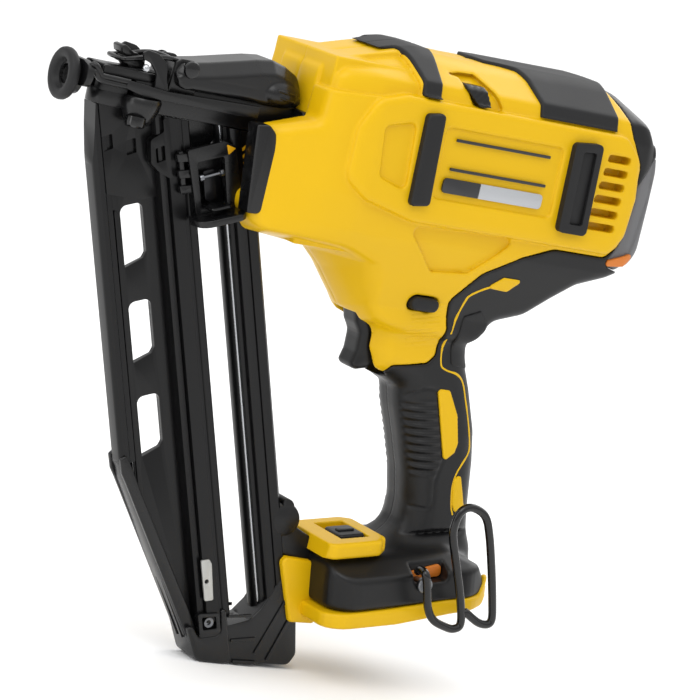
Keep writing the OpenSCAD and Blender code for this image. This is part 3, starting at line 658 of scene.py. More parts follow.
def trigger_pocket(g):
    """Room for the trigger and its tail, from rest to fully pulled."""
    room = either(g.side(TRIGGER_POCKET), g.side(TRIGGER_TAIL_SLOT))
    return both(room, g.across - TRIGGER_HALF_ROOM)


def front_openings(g, body):
    """Room for the lever, the nose, the magazine and the trigger."""
    body = cut(body, both(g.bore(LATCH_PIN, LEVER_SWEEP), g.across - LEVER_HALF_ROOM), 1.5)
    mouth = both(both(g.across - 17, np.abs(g.z + 4) - 14), np.abs(g.x - 100) - 18)
    body = cut(body, mouth, 1.5)
    u, _ = g.local(MAGAZINE_CORNER, MAGAZINE_LEAN)
    body = cut(body, both(u - 79, g.across - 11), 1.0)
    return cut(body, trigger_pocket(g), 0.8)


def build_casing():
    g = Field((86, -46, -116), (314, 1.6, 48), 0.8)
    whole = casing_field(g)
    detailed = front_openings(g, upper_details(g, whole))
    yellow = left_half(g, both(detailed, g.side(YELLOW_EDGE) + 0.1, 0.6))
    pair("housing", g, yellow, YELLOW, ["housing_left", "housing_right"])


def build_rear():
    g = Field((264, -46, -50), (314, 1.6, 48), 0.8)
    whole = casing_field(g)
    cap = both(whole + 0.9, g.side(REAR_EDGE), 0.8)
    # Raised paler band round the lower back; the upper half is glossy and darker
    band = g.side(rounded([(304, 60), (303, 16), (306, -4), (302, -31), (303, -60), (330, -60),
            (330, 60)], 3))
    shell = both(whole + 0.1, band, 0.8)
    half = left_half(g, either(cap, shell, 0.4))
    split = g.side(rounded([(250, 60), (250, -4), (294, -4), (304, 14), (330, 12), (330, 60)], 1))
    pair("rear_cap", g, cut(half, split - 0.1), GREY, ["rear_cap"])
    pair("rear_cap_top", g, both(half, split), BLACK, ())


def build_black_shell():
    g = Field((160, -46, -232), (312, 1.6, -30), 0.8)
    whole = casing_field(g)
    foot_u, foot_w = g.local(FOOT_CORNER, FOOT_RISE)
    block = both(outline_distance(FOOT_SIDE_LOCAL, foot_u, foot_w),
        outline_distance(FOOT_PLAN_LOCAL, foot_u, g.y), 4)
    whole = either(whole - 0.3, block, 9)
    whole = both(whole, 7.2 - np.clip((60 - foot_u) * 0.04, 0, 2.4) - foot_w, 0.8)
    # The foot's top slopes down to its edges
    slope = (foot_w + 0.55 * g.across - 41.5) * 0.88 - 2 * np.clip(foot_w - 34, 0, 200)
    whole = both(whole, slope, 2)
    black = cut(whole, g.side(YELLOW_EDGE) - 0.25, 0.5)
    black = cut(black, g.side(REAR_EDGE) - 0.25, 0.5)
    # Rubbed palm and finger ribs on the flanks of the grip
    pad = g.side(rounded([(193, -123), (206, -125), (217, -114.5), (225, -113.5), (238, -147),
            (236, -158), (239, -172), (212, -174), (199, -150)], 4))
    u, w = g.local((216, 0, -140), 9)
    lines = 0.6 * np.cos(2 * math.pi * w / 4.1) * np.clip((20 - np.abs(w)) / 3, 0, 1)
    groove = np.clip(1 - np.abs(pad) / 0.9, 0, 1) * 0.8
    flank = np.clip((g.across - 9) / 4, 0, 1)
    black = black + (lines * np.clip(-pad / 3, 0, 1) + groove) * flank
    # Slot of the belt hook on each side of the foot
    slot = outline_distance(rounded([(41.5, 18), (47, 16), (60.5, 17), (61.5, 25), (42.5, 25)], 2),
        foot_u, foot_w)
    black = cut(black, both(slot, 30 - g.across), 0.8)
    black = cut(black, trigger_pocket(g), 0.6)
    pair("grip_and_foot", g, left_half(g, black), BLACK,
        [["grip_cover_left", "foot_left", "rear_underside_cover"],
            ["grip_cover_right", "foot_right"]])


def skin_piece(name, g, whole, outline, out, deep, material, high_y):
    """A thin piece on each flank that lies on the skin of the whole shape, inside an outline."""
    shape = both(both(whole - out, g.side(outline), 0.5), -(whole + deep), 0.2)
    left = surface(name, g, both(shape, g.y - high_y))
    both_flanks = join(name + "_pair", [left, mirrored(left, name + "_other")])
    both_flanks.name = name
    shade(both_flanks, 50)
    keep(both_flanks, material, "frame", None)


def build_inserts():
    g = Field((206, -46, -176), (286, 0, -44), 0.6)
    whole = casing_field(g)
    inserts = [
        ("grip_insert_yellow", [(225, -113.5), (232, -113.5), (239.5, -125), (243.5, -138),
            (243, -143), (238, -148)], 1.5, YELLOW, -6),
        ("grip_insert_small", [(246, -156), (249.5, -153), (257, -170), (251, -172),
            (248.5, -168)], 1.5, YELLOW, -4),
        ("grip_insert_grey", [(225.2, -76.5), (233, -72.5), (240, -79), (240.5, -92),
            (241.5, -103), (229, -101.4), (225.4, -90)], 1.2, RUBBER, -3),
        ("grip_lozenge", [(229, -60.5), (236, -54), (247, -54), (241, -61)], 1.2, YELLOW, -8)]
    for name, points, radius, material, high_y in inserts:
        skin_piece(name, g, whole, rounded(points, radius), 1.0, 1.5, material, high_y)
    seam = [(241, -55.5), (234, -58.4), (224, -64.4), (221.6, -70), (221.6, -90), (223.2, -101),
        (226.5, -104), (234, -105.6), (239, -109.4), (243, -117.5), (246.5, -125), (250, -134),
        (252, -141.5), (249, -148), (247, -153.5), (246.6, -160), (248.6, -169), (250.5, -173)]
    path = on_skin(smooth_path([(x, 0, z) for x, z in seam], 4))
    lines = [tube("seam", [(x, side * y, z) for x, y, z in path], 0.75, 8) for side in (1, -1)]
    keep(join("grip_line", lines), YELLOW, "frame", None)


def on_skin(path):
    """The points where lines along Y from the middle leave the left side of the shape."""
    probe = Field((0, 0, 0), (1, 1, 1), 1)
    depth = np.arange(-45, -3, 0.25)
    probe.x = np.array([p[0] for p in path])[:, None]
    probe.z = np.array([p[2] for p in path])[:, None]
    probe.y = depth[None, :] + 0 * probe.x
    values = casing_field(probe)
    return [(p[0], float(depth[np.argmax(row < 0)]), p[2]) for p, row in zip(path, values)]


# ---------------------------------------------------------------- bumpers and plates

# How far off the middle the upright bars start, inside the casing
BAR_FOOT = 40.5


def build_bumpers():
    g = Field((130, -47, 18), (290, 1.6, 50), 0.7)
    whole = casing_field(g)
    across = g.across
    # On the roof each bumper reaches further forward than on the flanks
    roof = both(both(across - 12.6, 150.5 - g.x), 38.6 - g.z)
    strap = np.interp(across, [0, 14, 30, 40], [159, 159.5, 163, 165]) - g.x
    rear_edge = np.interp(across, [0, 14, 40], [177.5, 177.5, 174])
    front = both(either(roof, strap, 1), g.x - rear_edge, 0.6)
    front = both(both(front, 23.0 - g.z), whole - 1.5, 0.9)
    front = both(front, -(whole + 1.5), 0.2)
    pair("top_bumper_front", g, left_half(g, front), RUBBER, ["top_bumper_front"])
    front_edge = np.interp(across, [0, 12, 17, 24, 40], [208, 210, 225, 228, 231])
    rear = both(front_edge - g.x, g.x - 275, 0.6)
    rear = both(both(rear, 23.5 - g.z), whole - 1.6, 1.2)
    rear = both(rear, -(whole + 1.5), 0.2)
    pair("top_bumper_rear", g, left_half(g, rear), RUBBER, ["top_bumper_rear"])


def build_side_parts():
    front_bar = rounded([(166, 16), (175.5, 17.5), (178, -25.5), (167.5, -27)], 2.2)
    rear_bar = rounded([(249.5, 15.5), (265, 17), (267, -27), (251, -27)], 2.6)
    slot = rounded([(254.5, 12), (262, 12.5), (263.5, -22.5), (256, -22.5)], 1.2)
    bars = [both_sides("bar", front_bar, BAR_FOOT, 45.3, bevel=1.3, segments=3),
        both_sides("bar", rear_bar, BAR_FOOT, 45.3, holes=[slot], bevel=1.1, segments=3),
        both_sides("bar", slot, BAR_FOOT, 43.6, bevel=0.4)]
    keep(join("side_bumpers", bars), RUBBER, "frame", "side_bumpers")
    stripes = [box_outline((186, 5.6), (239, 7), 0.3), box_outline((186, -8), (240, -6.6), 0.3),
        rounded([(184, -11.5, 2), (204.3, -11.5), (204.3, -18.5), (184, -18.5, 2)], 0.2)]
    dark = [both_sides("plate", stripe, 41, 42, bevel=0.15) for stripe in stripes]
    keep(join("side_plates_dark", dark), LABEL_DARK, "frame", "side_plates")
    pale = both_sides("side_plates_pale",
        rounded([(204.6, -11.5), (240, -11.5, 2), (240, -18.5, 2), (204.6, -18.5)], 0.2), 41, 42,
        bevel=0.15)
    keep(pale, LABEL_PALE, "frame", "side_plates")


def build_vent():
    """Orange filter seen through the lower rear corner."""
    g = Field((280, -46, -48), (310, 0, -26), 0.6)
    whole = casing_field(g)
    skin_piece("rear_filter", g, whole,
        rounded([(288, -37.5), (302.5, -32.6), (303, -35.4), (299, -39.4), (288.5, -40.4)], 1.4),
        0.9, 1.4, GLOW, high_y=-16)


build_casing()
build_vent()
build_rear()
build_black_shell()
build_inserts()
build_bumpers()
build_side_parts()

# ---------------------------------------------------------------- magazine


def leaning(corner, degrees):
    """A frame at a corner, turned about Y."""
    return Matrix.Translation(corner) @ Matrix.Rotation(math.radians(-degrees), 4, "Y")


IN_MAGAZINE = leaning(MAGAZINE_CORNER, MAGAZINE_LEAN)
IN_FOOT = leaning(FOOT_CORNER, FOOT_RISE)
mag_plate, mag_sides, mag_lathe = (partial(make, place=IN_MAGAZINE)
    for make in (plate, both_sides, lathe))
# Tops of the windows in the side plates, from the magazine's upper corner
WINDOWS = [-51.5, -97.0, -142.3]
NOSE_UNDERSIDE = -10.2


def trim(thing, point, normal, place=IN_MAGAZINE):
    """Cuts away what lies on the far side of a plane and closes the cut."""
    bm = bmesh.new()
    bm.from_mesh(thing.data)
    where = place @ Vector(point) * MM
    away = (place.to_3x3() @ Vector(normal)).normalized()
    hit = bmesh.ops.bisect_plane(bm, geom=bm.verts[:] + bm.edges[:] + bm.faces[:], plane_co=where,
        plane_no=away, clear_outer=True)
    edges = [e for e in hit["geom_cut"] if isinstance(e, bmesh.types.BMEdge)]
    bmesh.ops.holes_fill(bm, edges=edges, sides=0)
    bm.normal_update()
    bm.to_mesh(thing.data)
    bm.free()
    thing.data.set_sharp_from_angle(angle=math.radians(SHARP))
    return thing


def under_nose(thing):
    """Cuts a piece of the magazine level with the underside of the nose."""
    return trim(thing, (0, 0, NOSE_UNDERSIDE), (0, 0, 1), Matrix.Identity(4))


def build_magazine():
    # Front rail, rounded towards the front and stepping down to the plates
    rail = mag_plate("front_rail", rounded(doubled([(0, -4.2, 3), (2.2, -5.6, 1), (4.6, -5.6, 0.5),
            (5.2, -4.6, 0.3), (8, -4.4, 0.3)]), 1), -172, 24, "z", bevel=0)
    rail = trim(rail, (0, 0, -30), (-24, 0, 3))
    keep(under_nose(rail), ANODISED, "frame", "magazine_front_rail")
    # Side plates with the windows; the far plate's are a little wider, so they stay open
    squares = [rounded([(u, w), (u + 5, w + 0.6), (u + 5, w - 6.2), (u, w - 6.8)], 0.5)
        for u, w in ((5.6, -17.6), (17, -21.6))]
    edge = [(7.6, 6), (30.2, -2), (30.2, -264), (24, -264), (7.6, -200)]
    parts = []
    for near, far, wider in ((-3.4, -1.6, 1.1), (1.6, 3.4, 2.8)):
        windows = [rounded([(11.8, top, 3.4), (22.2 + wider, top, 3.4),
                (22.2 + wider, top - 22.5 - wider, 2.2), (20.4 + wider, top - 24.8 - wider, 1.6),
                (11.8, top - 27.7 - wider, 0.5)], 1) for top in WINDOWS]
        parts.append(mag_plate("plate", edge, near, far, holes=windows, bevel=0.35))
    side = join("side_plates", parts)
    keep(under_nose(side), ANODISED, "frame", "magazine_side_plates")
    skins = mag_sides("upper_skin", [(5.4, 6), (30.4, -2), (30.4, -50), (22, -50), (5.4, -44)],
        3.2, 4.9, holes=squares, bevel=0.3)
    keep(under_nose(skins), ANODISED, "frame", None)
    strips = mag_sides("window_rib", rounded([(8.4, -52), (10.9, -54), (10.2, -200), (8.0, -196)],
            0.6), 3.2, 4.6, bevel=0.35)
    keep(strips, ANODISED, "frame", None)
    # Web that closes the channel towards the rear rail, above the pusher's travel
    web = mag_plate("upper_web", [(46, 4), (66, 4), (66, -26), (60, -33), (46, -33)], -2.2, 2.2,
        bevel=0.4)
    keep(under_nose(web), PAINTED, "frame", None)
    # Middle channel, an extrusion with flutes
    halves = []
    for side in (-1, 1):
        section = [(29.6, -1.3), (29.6, -3.4), (31.2, -7.6), (32.6, -8.3), (33.3, -7.0),
            (34.6, -7.0), (35.3, -9), (42.0, -9), (42.5, -8.1), (43.6, -8.1), (44.2, -8.8),
            (46.8, -8.8), (47.8, -7.8), (48.2, -1.3)]
        halves.append(mag_plate("channel", [(u, -side * y) for u, y in section], -258, 30, "z",
                bevel=0))
    channel = under_nose(join("magazine_channel", halves))
    keep(channel, ANODISED, "frame", "magazine_channel")
    shoulder = mag_sides("channel_shoulder",
        rounded([(34.4, -14, 1), (34.4, -20.0, 1.5), (27.4, -22.4, 2), (26.6, -33, 2),
            (30.6, -38.4, 2), (35.6, -42, 1), (37.4, -42, 0.5), (37.4, -14, 0.5)], 1), 4.4, 9.2,
        holes=[rounded([(29.4, -26.8), (34, -26), (34, -33), (29.4, -33.6)], 0.6)], bevel=0.6)
    keep(under_nose(shoulder), ANODISED, "frame", None)
    # Rear rail with its bright running strip
    section = [(62.2, -1.6), (63.2, -3.4), (64.2, -4.4), (65.0, -4.4), (65.4, -6.2), (67.0, -6.4),
        (67.6, -8.6), (68.2, -9), (71.4, -9), (71.8, -8.2), (72.6, -8.2), (73.0, -9), (77.4, -9),
        (78.8, -7.6)]
    rail = mag_plate("rear_rail", doubled(section), -262, 40, "z", bevel=0)
    rail = trim(under_nose(rail), (50, 0, -266), (16.2, 0, -29))
    keep(rail, ANODISED, "frame", "magazine_rear_rail")
    strip = mag_plate("running_strip", box_outline((64.1, -4.9), (65.2, 4.9), 0.4), -256, -20, "z",
        bevel=0)
    keep(strip, STEEL, "frame", None)
    # Aluminium plate with its hole
    tab = mag_plate("end_plate", rounded([(34.3, -226), (38.6, -226.6), (39.6, -229), (38.8, -247),
            (34.3, -246.4)], 0.8), -9.9, -8.8, holes=[ring((36.2, -237), 1.1, 20)], bevel=0.2)
    keep(tab, PLATE, "frame", None)


def build_end_cap():
    """Slanted clip with its corner block and ribs."""
    slant = rounded([(-0.6, -169), (2.4, -167), (4.4, -172), (8.4, -187), (29.2, -256),
            (30.4, -262), (25.2, -264), (1.2, -181), (-0.4, -176)], 1.2)
    bar = mag_sides("clip", slant, 4.4, 6.9, bevel=0.7, segments=3)
    nose = mag_plate("clip_front", rounded([(-0.2, -170), (2.6, -170), (6.8, -186), (28.2, -262),
            (24.4, -263), (1.6, -181)], 1.0), -5.9, 5.9, bevel=0.8)
    corner = mag_plate("clip_corner", rounded([(24.2, -257, 2), (27.5, -257.5, 2), (30, -264, 3),
            (41.5, -265.5, 3), (42.5, -253, 1.5), (45.5, -253.4, 1.5), (45.5, -280.5, 3),
            (40.8, -280, 3), (27, -274.5, 5)], 1), -9.9, 9.9, bevel=1.5, segments=3)
    base = mag_plate("clip_base", rounded([(30, -262, 1), (57, -262.4, 1), (64, -258, 1),
            (77.2, -244, 3), (80.2, -244.5, 2.5), (82.4, -264, 4), (80.4, -286, 4),
            (75.6, -290.4, 4), (40, -279, 3), (30, -272.5, 2)], 1), -9.2, 9.2, bevel=1.3,
        segments=3)
    ribs = []
    for a, b in (((46, -269.5), (59, -272)), ((46, -257), (58, -260)),
            ((58, -279.5), (81.4, -252)), ((64, -284.5), (82, -262)), ((46, -280), (58, -284)),
            ((80.8, -252), (81.6, -264))):
        along = Vector((b[0] - a[0], b[1] - a[1])).normalized()
        off = Vector((-along.y, along.x)) * 0.8
        outline = [(a[0] + off.x, a[1] + off.y), (b[0] + off.x, b[1] + off.y),
            (b[0] - off.x, b[1] - off.y), (a[0] - off.x, a[1] - off.y)]
        ribs.append(mag_sides("rib", outline, 9.0, 10.1, bevel=0.35))
    boss = mag_sides("pocket", rounded([(30.2, -251.8), (41.2, -254.2), (41.2, -264),
            (30.2, -263)], 1), 6, 10.0, holes=[rounded([(32, -254), (39.4, -255.4), (39.4, -261.5),
            (32, -260.5)], 0.8)], bevel=0.45)
    keep(join("magazine_end_cap", [bar, nose, corner, base, boss] + ribs), PAINTED, "frame",
        "magazine_end_cap")
    heads = []
    for side in (-1, 1):
        heads.append(mag_lathe("screw", [(0, 0.2), (1.0, 0.2), (1.2, 1.0), (2.4, 1.3), (2.9, 0.4),
                (2.9, -1.4), (0, -1.4)], (35.8, side * 8.0, -257.8), (0, side, 0), 28))
    keep(join("magazine_screw_heads", heads), SPRING, "frame", "magazine_screws")


def build_pusher():
    side = mag_plate("pusher_plate", rounded([(43.4, -29.6), (62.6, -29), (68.2, -32.6),
            (68.6, -62.2), (45.2, -62.2)], 1.0), -13.2, -10.8,
        holes=[rounded([(47.8, -36), (61.6, -36), (61.0, -58), (48, -57.4)], 1.2)], bevel=0.5)
    shelf = mag_plate("pusher_shelf", rounded([(41.5, -26, 6), (64.8, -26, 6), (67.4, -13, 4),
            (66.5, -10.6, 0.5), (42.5, -10.6, 0.5), (40.6, -14, 4)], 1), -63.6, -60.4, "z",
        bevel=1.0, segments=3)
    back = mag_plate("pusher_back", box_outline((46, -60), (64, -33), 1), -6.4, -4.6, bevel=0.3)
    rim = mag_plate("pusher_rim", box_outline((45, -61), (65.5, -32), 1), -11.2, -5.8,
        holes=[box_outline((47.4, -58.6), (62.4, -35.6), 1)], bevel=0.3)
    ledge = mag_plate("pusher_ledge", rounded([(49.6, -21, 2), (59.8, -21, 2), (60.4, -11, 0.5),
            (49, -11, 0.5)], 1), -58.2, -56.6, "z", bevel=0.5)
    teeth = [mag_plate("tooth", rounded([(38.2, w), (44.6, w - 0.8), (44.6, w - 4.6),
            (38.6, w - 3.8)], 0.5), -12.4, -9.4, bevel=0.5) for w in (-30.6, -38.2, -45.4)]
    post = mag_plate("tooth_post", rounded([(39.6, -30), (42, -30), (42, -50.5), (39.6, -49.8)],
            0.5), -11.4, -9.4, bevel=0.4)
    keep(join("pusher", [side, shelf, back, rim, ledge, post] + teeth), PAINTED, "pusher",
        "pusher")
    triangle = mag_plate("pusher_mark", rounded([(63.2, -30.6), (67.6, -33.3), (63.6, -35.6)],
            0.3), -13.55, -13.0, bevel=0.15)
    keep(triangle, YELLOW_DULL, "pusher", None)
    pin = mag_lathe("pusher_pin", doubled([(0, 6.4), (1.5, 6.2), (1.7, 5.8), (1.7, 4.4),
            (0.7, 4.0)]), (54.6, -12.4, -43.6), (1, 0, 0.04), 24)
    keep(pin, SPRING, "pusher", None)
    # The latch is spring steel drawn darker, painted shade for the dim window it sits in
    catch = mag_plate("pusher_latch", rounded([(51.5, -41.5), (57.5, -41.5), (57.5, -55),
            (54.5, -56.4), (51.5, -55)], 1.2), -10.4, -9.2, bevel=0.4)
    keep(catch, SPRING_IN_SHADE, "pusher_latch", "pusher_latch")
    stripes = []
    for k in range(4):
        w = -35.2 - 3.3 * k
        stripes.append(mag_plate("stripe", [(72.9, w), (76.4, w + 1.9), (76.4, w + 0.4),
                (72.9, w - 1.5)], -9.35, -8.9, bevel=0.08))
    keep(join("travel_marks", stripes), YELLOW_DULL, "frame", None)


def build_collar():
    """Black block where the rear rail enters the casing."""
    block = both_sides("collar", rounded([(89.6, -4.5, 1), (96, -3.6, 3), (100.2, -7, 5),
            (104, -22, 8), (104.6, -36, 6), (101, -44.5, 4), (94.5, -44.5, 1)], 2), 17.6, 27.4,
        bevel=1.6, segments=3)
    web = plate("collar_web", rounded([(92, -6), (97, -8), (100, -24), (100, -38), (96, -42),
            (94, -42)], 1.5), 11.2, 18, bevel=0.6)
    keep(join("front_cover", [block, web]), PAINTED, "frame", "front_cover")


# ---------------------------------------------------------------- nose


def build_trip():
    pad = lathe("no_mar_pad", [(4.5, 6.6), (4.5, 4.8), (5.2, 3.9), (6.2, 2.8), (6.8, 1.6),
            (7.3, 0.7), (8.1, 0.15), (9.8, 0.0), (10.9, 0.25), (11.6, 0.9), (11.9, 2.0),
            (11.8, 3.4), (11.2, 4.4), (9.8, 5.0), (8.0, 5.4), (7.0, 6.6)], (0, 0, 0), (1, 0, 0),
        72)
    keep(pad, RUBBER, "contact_trip", "no_mar_pad")
    yoke = plate("yoke", rounded([(-13, -3.2, 3), (13, -3.2, 3), (15, 1, 2), (15, 6.4, 3),
            (8, 8.4, 3), (-8, 8.4, 3), (-15, 6.4, 3), (-15, 1, 2)], 2), 6.2, 9.5, "x",
        holes=[ring((0, 0), 4.6, 28)], bevel=0.8)
    collar = lathe("yoke_collar", [(4.55, 3.2), (7.6, 3.2), (8.2, 5.4), (8.2, 8.6), (4.55, 8.6)],
        (0, 0, 0), (1, 0, 0), 48)
    bars = []
    for side, end in ((-1, 96), (1, 60)):
        low, high = sorted((side * 12.5, side * 15.1))
        bar = rounded([(26.5, 3.6, 0.5), (48, 1.6, 1), (end, 2.4, 0.5), (end, -3.4, 0.5),
                (36, -2.6, 1), (26.5, -0.2, 0.5)], 0.6)
        bars.append(plate("trip_bar", bar, low, high, bevel=0.4))
        y = side * 13.6
        for lift, back in ((0, 0), (-2.7, 1.6)):
            path = [(7.4, y * 0.72, 5.2 + lift * 0.4), (9.6 + back * 0.4, y, 7.4 + lift),
                (12.6, y, 4.6 + lift * 0.9), (14.4 + back, y, 3.2 + lift * 0.8),
                (21, y, 2.9 + lift * 0.8), (28, y, 2.6 + lift * 0.8)]
            bars.append(tube("trip_rod", smooth_path(path, 5), 1.35, 14))
    keep(join("contact_trip", [yoke, collar] + bars), PAINTED, "contact_trip", "contact_trip")


def build_nose():
    # The casting is hollow along the driver's path
    walls = both_sides("nose_wall", rounded([(30, -9.8), (116, -9.8), (121, -6), (121, 4),
            (30, 4)], 1), 2.8, 9, bevel=0.7)
    floor = plate("nose_floor", box_outline((28, -9.8), (118, -3.2), 0.3), -3, 3, bevel=0)
    roof = plate("nose_roof", box_outline((28, 3.0), (118, 4), 0.2), -3, 3, bevel=0)
    tip = [(25.5 - 9 * math.sin(a), 9 * math.cos(a)) for a in np.linspace(0, math.pi, 29)]
    tip = [(34, 9)] + tip + [(34, -9)]
    cheek = [(x, y) for x, y in tip if y > 3] + [(17.1, 3), (34, 3)]
    front = [plate("nose_tip", tip, -10, -3.2, "z", bevel=0.6),
        plate("nose_tip", tip, 3.0, 4, "z", bevel=0.3),
        plate("nose_tip", cheek, -3.6, 3.4, "z", bevel=0),
        plate("nose_tip", [(x, -y) for x, y in cheek][::-1], -3.6, 3.4, "z", bevel=0)]
    flange = plate("nose_flange", box_outline((-20, -23.8), (20, 4), 3), 116, 121.8, "x",
        bevel=0.8)
    ears = both_sides("ear", rounded([(50, 0), (64, 0), (63, 14.8), (60, 16.8), (54, 16.8),
            (51, 14.8)], 1.5), 8, 10.2, bevel=0.5)
    arm = both_sides("arm", rounded([(33.0, 16.4, 1.0), (35.0, 18.0, 1.5), (41.0, 17.2, 5),
            (46.4, 13.2, 5), (47.4, 7, 3), (50.6, -1, 2), (50.6, -3.4, 1), (42.0, -3.4, 1),
            (42.2, 3, 3), (41.6, 8.4, 4), (37.8, 12.4, 3), (33.6, 13.6, 1)], 1), 10.2, 11.9,
        bevel=0.5)
    boss = lathe("nose_boss", [(0, -3.2), (8.6, -3.3), (9.2, -4.4), (8.8, -8), (6.8, -13.2),
            (5.4, -15.2), (3.4, -16.2), (0, -16.4)], (38.6, -9.4, 0), (0, 0, 1), 40)
    pocket_rail = both_sides("nose_rail",
        rounded([(16.6, 3.4), (40, 3.4), (43, 5.2), (43, 7.6), (16.6, 8.0)], 1), 7.6, 9.4,
        bevel=0.5)
    bearer = both_sides("door_bearer",
        rounded([(43, 3.8), (48.8, 3.8), (48.8, 8.4), (47, 9.6), (44.5, 9.6)], 1), 7, 9, bevel=0.3)
    keep(join("nose_body", front + [walls, floor, roof, flange, ears, arm, boss, pocket_rail,
            bearer]), PAINTED, "frame", "nose_body")
    bolt = lathe("nose_bolt", [(0, -17.0), (2.0, -17.0), (2.3, -16.2), (3.6, -17.2), (4.4, -16.6),
            (4.7, -15.2), (4.7, -12.5), (0, -12)], (36.2, -11.8, 0.2), (0.05, 0.12, 1), 32)
    keep(bolt, GLOSS_WIRE, "frame", None)
    door = plate("door", rounded([(17.8, 4.2), (45, 4.2), (45.6, 8), (38, 8.6), (30, 8.2),
            (17.8, 8)], 0.6), -6.7, 6.7, bevel=0.6)
    barrel = lathe("door_barrel", doubled([(1.56, -6.7), (2.5, -6.7)]),
        (DOOR_PIN[0], 0, DOOR_PIN[1]), (0, 1, 0), 32)
    horn = plate("door_hook", rounded([(26.4, 14.2, 0.5), (25.4, 17.2, 0.9), (27.4, 17.8, 0.9),
            (32.4, 15.0, 1.5), (34.0, 15.2, 0.8), (38.4, 11.6, 1), (39.4, 8, 0.4), (31.5, 8, 1),
            (30.0, 9.4, 1), (28.0, 9.8, 0.5), (27.2, 11.4, 0.6), (29.6, 12.8, 0.5)], 0.5), -4.6,
        4.6, bevel=0.6)
    keep(join("nose_door", [door, barrel, horn]), PAINTED, "nose_door", "nose_door")
    pin = lathe("door_pin", doubled([(0, -9.3), (1.2, -9.3), (1.5, -9.0)]),
        (DOOR_PIN[0], 0, DOOR_PIN[1]), (0, 1, 0), 28)
    keep(pin, STEEL, "frame", "door_pin")
    rivet = lathe("arm_rivet", [(0, 2.4), (0.9, 2.3), (1.5, 1.8), (1.6, -2.4), (0, -2.4)],
        (36.2, -11.0, 9.8), (-0.5, -1, 0), 28)
    keep(rivet, STEEL, "frame", None)


def build_lever():
    """Jam-release lever: an open U with a rounded thumb end."""
    g = Field((48, -16.5, 1), (122, 16.5, 28.5), 0.5)
    outline = rounded([(50.6, 10.6, 3), (52.8, 5.0, 2), (56, 3.7, 2), (90, 3.9, 3), (96, 3.3, 3),
            (108, 3.0, 4), (117, 4.6, 5), (119.4, 11, 6), (115.6, 18.2, 6), (108, 21.8, 6),
            (101, 23.6, 4), (93, 22.6, 3), (69, 17.4, 3), (60, 15.8, 3), (53.6, 15.2, 3)], 2)
    side = g.side(outline)
    slope = np.clip((g.x - 84) / 26, 0, 1)
    half = 14.4 - 0.8 * slope
    shell = both(side, g.across - half, 1.5)
    # Broad slanting band between the flank and the top
    band = (side + g.across - half + 5.6) / 1.414 - 3 * np.clip((10 - g.z) / 3, 0, 1)
    shell = both(shell, band - 2 * np.clip((60 - g.x) / 6, 0, 1), 0.8)
    # Long hollow along the top edge and the step where the thumb end begins
    swell = np.sqrt(((g.x - 106) / 15) ** 2 + ((g.z - 9.0) / 9.8) ** 2 + (g.y / 16.9) ** 2) - 1
    shell = either(shell, both(swell * 9, side + 0.1, 1.5), 0.2)
    hollow = both(both(side + 3.4, g.across - 11.6), g.x - 108, 2)
    hollow = either(hollow, both(g.across - 11.6, both(g.z - 12, g.x - 100)), 1)
    hollow = either(hollow, both(g.across - 9.4, g.x - 66), 1)
    shell = cut(shell, both(hollow, shell + 1.5), 0.4)
    shell = cut(shell, g.bore(LATCH_PIN, 2.6))
    lever = surface("jam_latch", g, shell)
    keep(lever, PAINTED, "jam_latch", "jam_latch")
    grips = []
    for side in (-1, 1):
        for z in (10.2, 7.2):
            path = [(103 + 0.4 * (10 - z), side * 15.9, z + 0.9), (107.5, side * 16.2, z + 0.4),
                (112, side * 14.9, z - 0.2)]
            grips.append(tube("thumb_rib", smooth_path(path, 5), 0.8, 10))
    keep(join("jam_latch_ribs", grips), PAINTED, "jam_latch", None)
    caps = []
    for side in (-1, 1):
        caps.append(lathe("pin_cap", [(0, 0.9), (2.6, 0.9), (3.6, 0.5), (3.9, 0), (3.9, -0.9),
                (0, -0.9)], (LATCH_PIN[0], side * 15.3, LATCH_PIN[1]), (0, side, 0), 36))
    caps.append(lathe("pin_rod", doubled([(0, -15), (2.4, -15), (2.5, -14.6)]),
            (LATCH_PIN[0], 0, LATCH_PIN[1]), (0, 1, 0), 32))
    keep(join("latch_pin", caps), GLOSS_WIRE, "frame", "latch_pin")
    arm = [(60, 7.2, 13.4), (54, 7.2, 15.2), (46, 7.0, 15.6), (37, 6.6, 13.8), (28, 6.2, 11.8),
        (25.8, 5.6, 11.6)]
    path = arm + [(x, -y, z) for x, y, z in arm[::-1]]
    wire = tube("bail_wire", smooth_path(path, 5), 1.15, 14)
    ends = [lathe("bail_end", doubled([(0, -2), (1.5, -2), (1.6, -1.8)]), (60, side * 8.4, 13.2),
            (0, 1, 0), 24) for side in (-1, 1)]
    keep(join("latch_bail", [wire] + ends), GLOSS_WIRE, "latch_bail", "latch_bail")


# ---------------------------------------------------------------- handle parts


